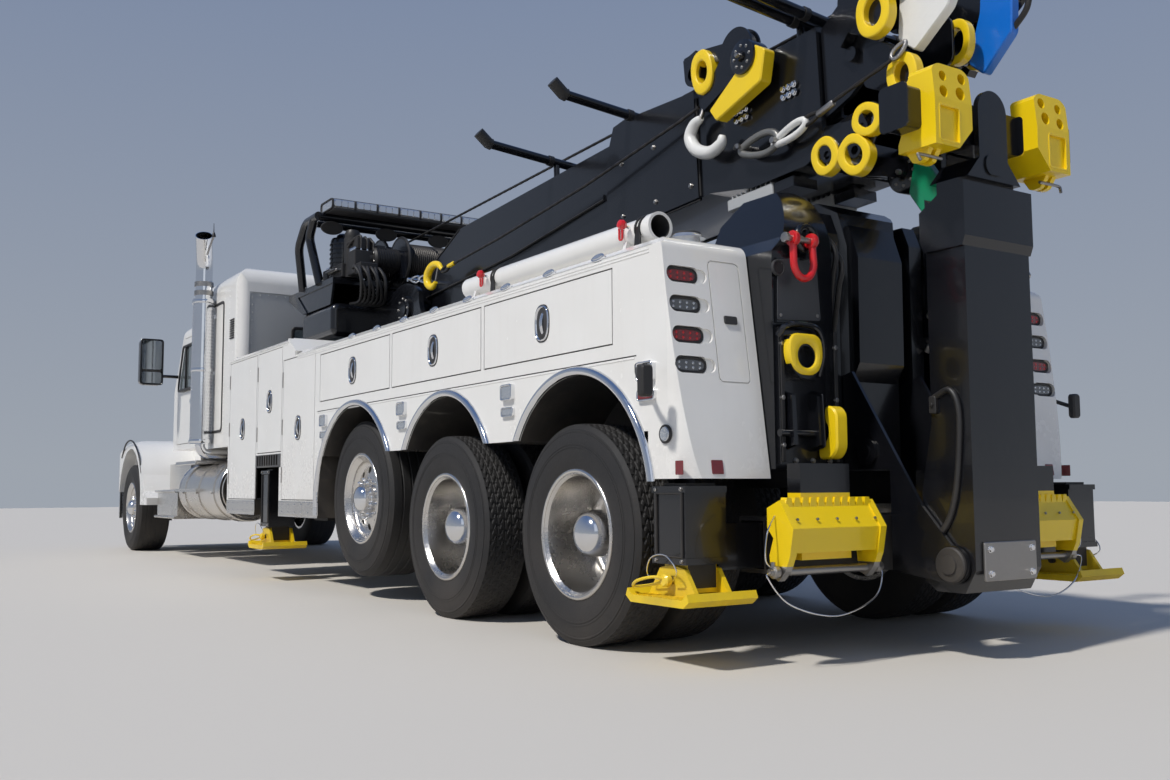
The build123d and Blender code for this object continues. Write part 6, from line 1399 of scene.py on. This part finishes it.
# cab door: glass, seal, grip and mirror faces
pane = rounded([(7.865, 1.845), (8.675, 1.845), (8.675, 1.91), (8.49, 2.325), (7.865, 2.325)], 0.035)
pair("doorPane", plate(pane, 1.012, 1.022, "y", 0.002), "glass", "cab_door_left")
seal = washer(rounded([(7.85, 1.83), (8.69, 1.83), (8.69, 1.91), (8.5, 2.34), (7.85, 2.34)], 0.04),
              rounded([(7.875, 1.855), (8.665, 1.855), (8.665, 1.905), (8.485, 2.315), (7.875, 2.315)], 0.035), 1.028,
              1.046, "y", 0.003)
pair("doorSeal", seal, "hoseRubber", "cab_door_left")
glassBar = plate(panel(8.37, 8.395, 1.85, 2.325, 0.005, 3), 1.018, 1.04, "y", 0.003)
pair("quarterBar", glassBar, "hoseRubber", "cab_door_left")
grip = plate(panel(7.86, 8.06, 1.655, 1.725, 0.03), 1.038, 1.062, "y", 0.008)
pair("doorGrip", grip, "chrome", "cab_door_left")
pair("mirrorMain", plate(panel(1.232, 1.448, 2.075, 2.405, 0.03), 8.641, 8.65, "x", 0.003), "mirrorGlass",
     "cab_door_left")
pair("mirrorSmall", plate(panel(1.232, 1.448, 1.92, 2.05, 0.03), 8.639, 8.65, "x", 0.003), "mirrorGlass",
     "cab_door_left")
pair("mirrorRim", washer(panel(1.215, 1.465, 1.902, 2.42, 0.04), panel(1.229, 1.451, 1.916, 2.408, 0.03), 8.634,
                         8.652, "x", 0.003), "blackPaint", "cab_door_left")
# sleeper: rows of rivets, side hatch and its latch, vent and rear window
rivetRows = []
for x0 in (6.19, 6.44, 6.6, 7.05, 7.5, 7.57):
    for z0 in np.arange(1.28, 2.66, 0.055):
        if x0 != 7.05 or z0 >= 2.61:   # the hatch has no rivets on it
            rivetRows.append((x0, 1.091, z0))
rivet = turned(capped((-0.002, 0.006), (0.001, 0.0055), (0.0028, 0.003), (0.003, 0)), (0, 0, 0), "y", 8)
pair("sleeperRivets", copies(rivet, rivetRows), "whitePaint")
hatch = washer(panel(6.63, 7.49, 1.29, 2.59, 0.06), panel(6.655, 7.465, 1.315, 2.565, 0.05),
               1.088, 1.097, "y", 0.002)
pair("hatchSeal", hatch, "hoseRubber")
sideLatch = join(turned(capped((-0.002, 0.045), (0.006, 0.046), (0.011, 0.04), (0.012, 0)), (7.36, 1.09, 1.95), "y",
                        28), plate(panel(7.345, 7.375, 1.91, 1.99, 0.012), 1.1, 1.114, "y", 0.004))
pair("hatchLatch", sideLatch, "chrome")
vent = [plate(panel(6.27, 6.4, 2.35 - 0.022 * j, 2.362 - 0.022 * j, 0.004, 3), 1.088, 1.102, "y", 0.003)
        for j in range(9)]
pair("sleeperVent", vent, "hoseRubber")
panelRivets = [(6.15, s * 0.955, z) for s in (-1, 1) for z in np.arange(1.29, 2.6, 0.075)]
panelRivets += [(6.15, y, z) for y in np.arange(-0.88, 0.9, 0.08) for z in (1.265, 2.585)]
backRivet = turned(capped((-0.002, 0.007), (0.001, 0.0065), (0.003, 0.004), (0.0032, 0)), (0, 0, 0), "-x", 8)
# the back wall's rivets carry the same grey painted shade as the wall
place("backRivets", copies(backRivet, panelRivets), "greyPanel")
pad = plate(panel(-0.55, 0.55, 1.66, 2.28, 0.04), 6.138, 6.152, "x", 0.005)
place("backWindow", pad, "glass")
windowSeal = washer(panel(-0.575, 0.575, 1.635, 2.305, 0.05), panel(-0.548, 0.548, 1.662, 2.278, 0.04), 6.134, 6.154,
                    "x", 0.004)
place("backSeal", windowSeal, "hoseRubber")
# roof and windscreen: clearance lamps, horns, wipers and a seal
clear = turned(capped((-0.004, 0.036), (0.01, 0.034), (0.026, 0.024), (0.032, 0.01), (0.033, 0)), (0, 0, 0), "z", 24)
place("roofLamps", copies(clear, [(8.02, y, 2.562) for y in (-0.62, -0.3, 0.0, 0.3, 0.62)]), "lensAmber")
horn = []
for y, long in ((0.52, 0.46), (-0.52, 0.4)):
    bell = turned(capped((0, 0.02), (long * 0.55, 0.026), (long * 0.8, 0.036), (long * 0.93, 0.055), (long, 0.078),
                         (long + 0.003, 0.08), (long - 0.005, 0.07), (long * 0.9, 0.04)), (7.72, y, 2.64), "x", 32)
    hornFeet = [rod((7.8, y, 2.552), (7.8, y, 2.635), 0.012, 10), rod((8.0, y, 2.555), (8.0, y, 2.635), 0.012, 10)]
    horn += [bell] + hornFeet
place("airHorns", horn, "chrome")
wipers = []
for y0 in (-0.42, 0.38):
    a, b = (8.99, y0 - 0.05, 1.845), (8.875, y0 + 0.3, 2.13)
    wipers.append(hose([a, (8.975, y0 + 0.06, 1.92), b], 0.0075, 8))
    wipers.append(rod((8.905, y0 + 0.1, 2.055), (8.868, y0 + 0.5, 2.155), 0.0065, 8, 4))
place("wipers", wipers, "hoseRubber")
screenSeal = tube([(8.985, s * 0.86, 1.9) for s in (-1, 1)], 0.01, 8)
place("screenSeal", screenSeal, "hoseRubber")
# hood and bumper: louvres, latch, lamps, rubber edge of the arch, grille bars and bolts
louvres = []
for j in range(7):
    x0, y0 = 9.13 + 0.035 * j, 0.668 - 0.004 * j
    louvres.append(plate(panel(x0, x0 + 0.016, 1.42, 1.62, 0.006, 3), y0, y0 + 0.014, "y", 0.003))
pair("hoodLouvres", louvres, "whitePaint", "hood")
hoodCatch = join(plate(panel(9.06, 9.11, 1.19, 1.31, 0.012), 0.672, 0.7, "y", 0.005),
                 rod((9.085, 0.7, 1.21), (9.085, 0.7, 1.29), 0.012, 10))
pair("hoodLatch", hoodCatch, "hoseRubber", "hood")
lampShell = []
glow = []
for k, y in enumerate((0.865, 1.015)):
    lampShell.append(washer(panel(y - 0.068, y + 0.068, 1.043, 1.177, 0.02),
                            panel(y - 0.058, y + 0.058, 1.053, 1.167, 0.016), 10.765, 10.782, "x", 0.003))
    glow.append(plate(panel(y - 0.06, y + 0.06, 1.051, 1.169, 0.018), 10.764, 10.775, "x", 0.003))
pair("lampRims", lampShell, "chrome", "hood")
pair("headLenses", glow, "lensClear", "hood")
corner = plate(panel(10.55, 10.7, 1.045, 1.165, 0.02), 1.106, 1.118, "y", 0.004)
pair("turnLenses", corner, "lensAmber", "hood")
beadLine = hose([(9.47, 1.25, 0.93), (9.6, 1.257, 1.135), (9.86, 1.26, 1.29), (10.13, 1.261, 1.338),
                 (10.4, 1.26, 1.29), (10.62, 1.255, 1.14)], 0.01, 8)
pair("fenderBead", beadLine, "hoseRubber", "hood")
bars = [plate(panel(y - 0.01, y + 0.01, 0.87, 1.585, 0.006, 3), 10.818, 10.832, "x", 0.004)
        for y in np.linspace(-0.4, 0.4, 11)]
place("grilleBars", bars, "chrome", "hood")
bugScreen = washer(panel(-0.462, 0.462, 0.822, 1.632, 0.05), panel(-0.435, 0.435, 0.85, 1.604, 0.04),
                   10.806, 10.834, "x", 0.006)
place("grilleRim", bugScreen, "chrome", "hood")
fog = [turned(capped((-0.01, 0.062), (0.012, 0.066), (0.018, 0.058), (0.012, 0.05), (0.01, 0)), (10.985, y, 0.58),
              "x", 32) for y in (0.62, 0.8)]
pair("fogLamps", fog, "lensClear")
bumperBolts = [(11.0, y, z) for y in (0.3, 0.44) for z in (0.47, 0.69)]
domed = turned(capped((-0.004, 0.017), (0.003, 0.017), (0.008, 0.012), (0.009, 0)), (0, 0, 0), "x", 20)
pair("bumperBolts", copies(domed, bumperBolts), "chrome")
# air tanks and brake chambers under the frame
tankRows = [(5.2, 0), (5.205, 0.05), (5.225, 0.095), (5.26, 0.118), (5.3, 0.122), (5.85, 0.122), (5.89, 0.118),
            (5.925, 0.095), (5.945, 0.05), (5.95, 0)]
place("airTanks", [turned(tankRows, (0, s * 0.19, 0.6), "x", 32) for s in (-1, 1)], "satinBlack")
chamber = capped((0, 0.055), (0.02, 0.078), (0.075, 0.08), (0.085, 0.088), (0.095, 0.08), (0.15, 0.076),
                 (0.185, 0.05), (0.19, 0))
chambers = [turned(chamber, (x0 + 0.16, 0.46, 0.6), (0.9, 0, 0.35), 28) for x0 in (0.0, 1.37)]
pair("brakeChambers", chambers, "satinBlack")
print("front dressed")

# floor and the end
# A flat grid at Z = 0, as large as the view
def makeFloor(colour):
    a = np.linspace(-45.0, 45.0, 3)
    spots = np.stack([*(m.ravel() for m in np.meshgrid(a, a, indexing="ij")), np.zeros(9)], axis=1)
    mesh = bpy.data.meshes.new("floor")
    mesh.from_pydata(spots.tolist(), [], [(k, k + 3, k + 4, k + 1) for k in (0, 1, 3, 4)])
    mat = bpy.data.materials.new("paleFloor")
    mat.use_nodes = True
    shader = mat.node_tree.nodes["Principled BSDF"]
    shader.inputs["Base Color"].default_value = (*colour, 1)
    shader.inputs["Roughness"].default_value = 0.85
    mesh.materials.append(mat)
    floor = bpy.data.objects.new("floor", mesh)
    bpy.context.scene.collection.objects.link(floor)


makeFloor(studio["floor"])
print("pieces placed")
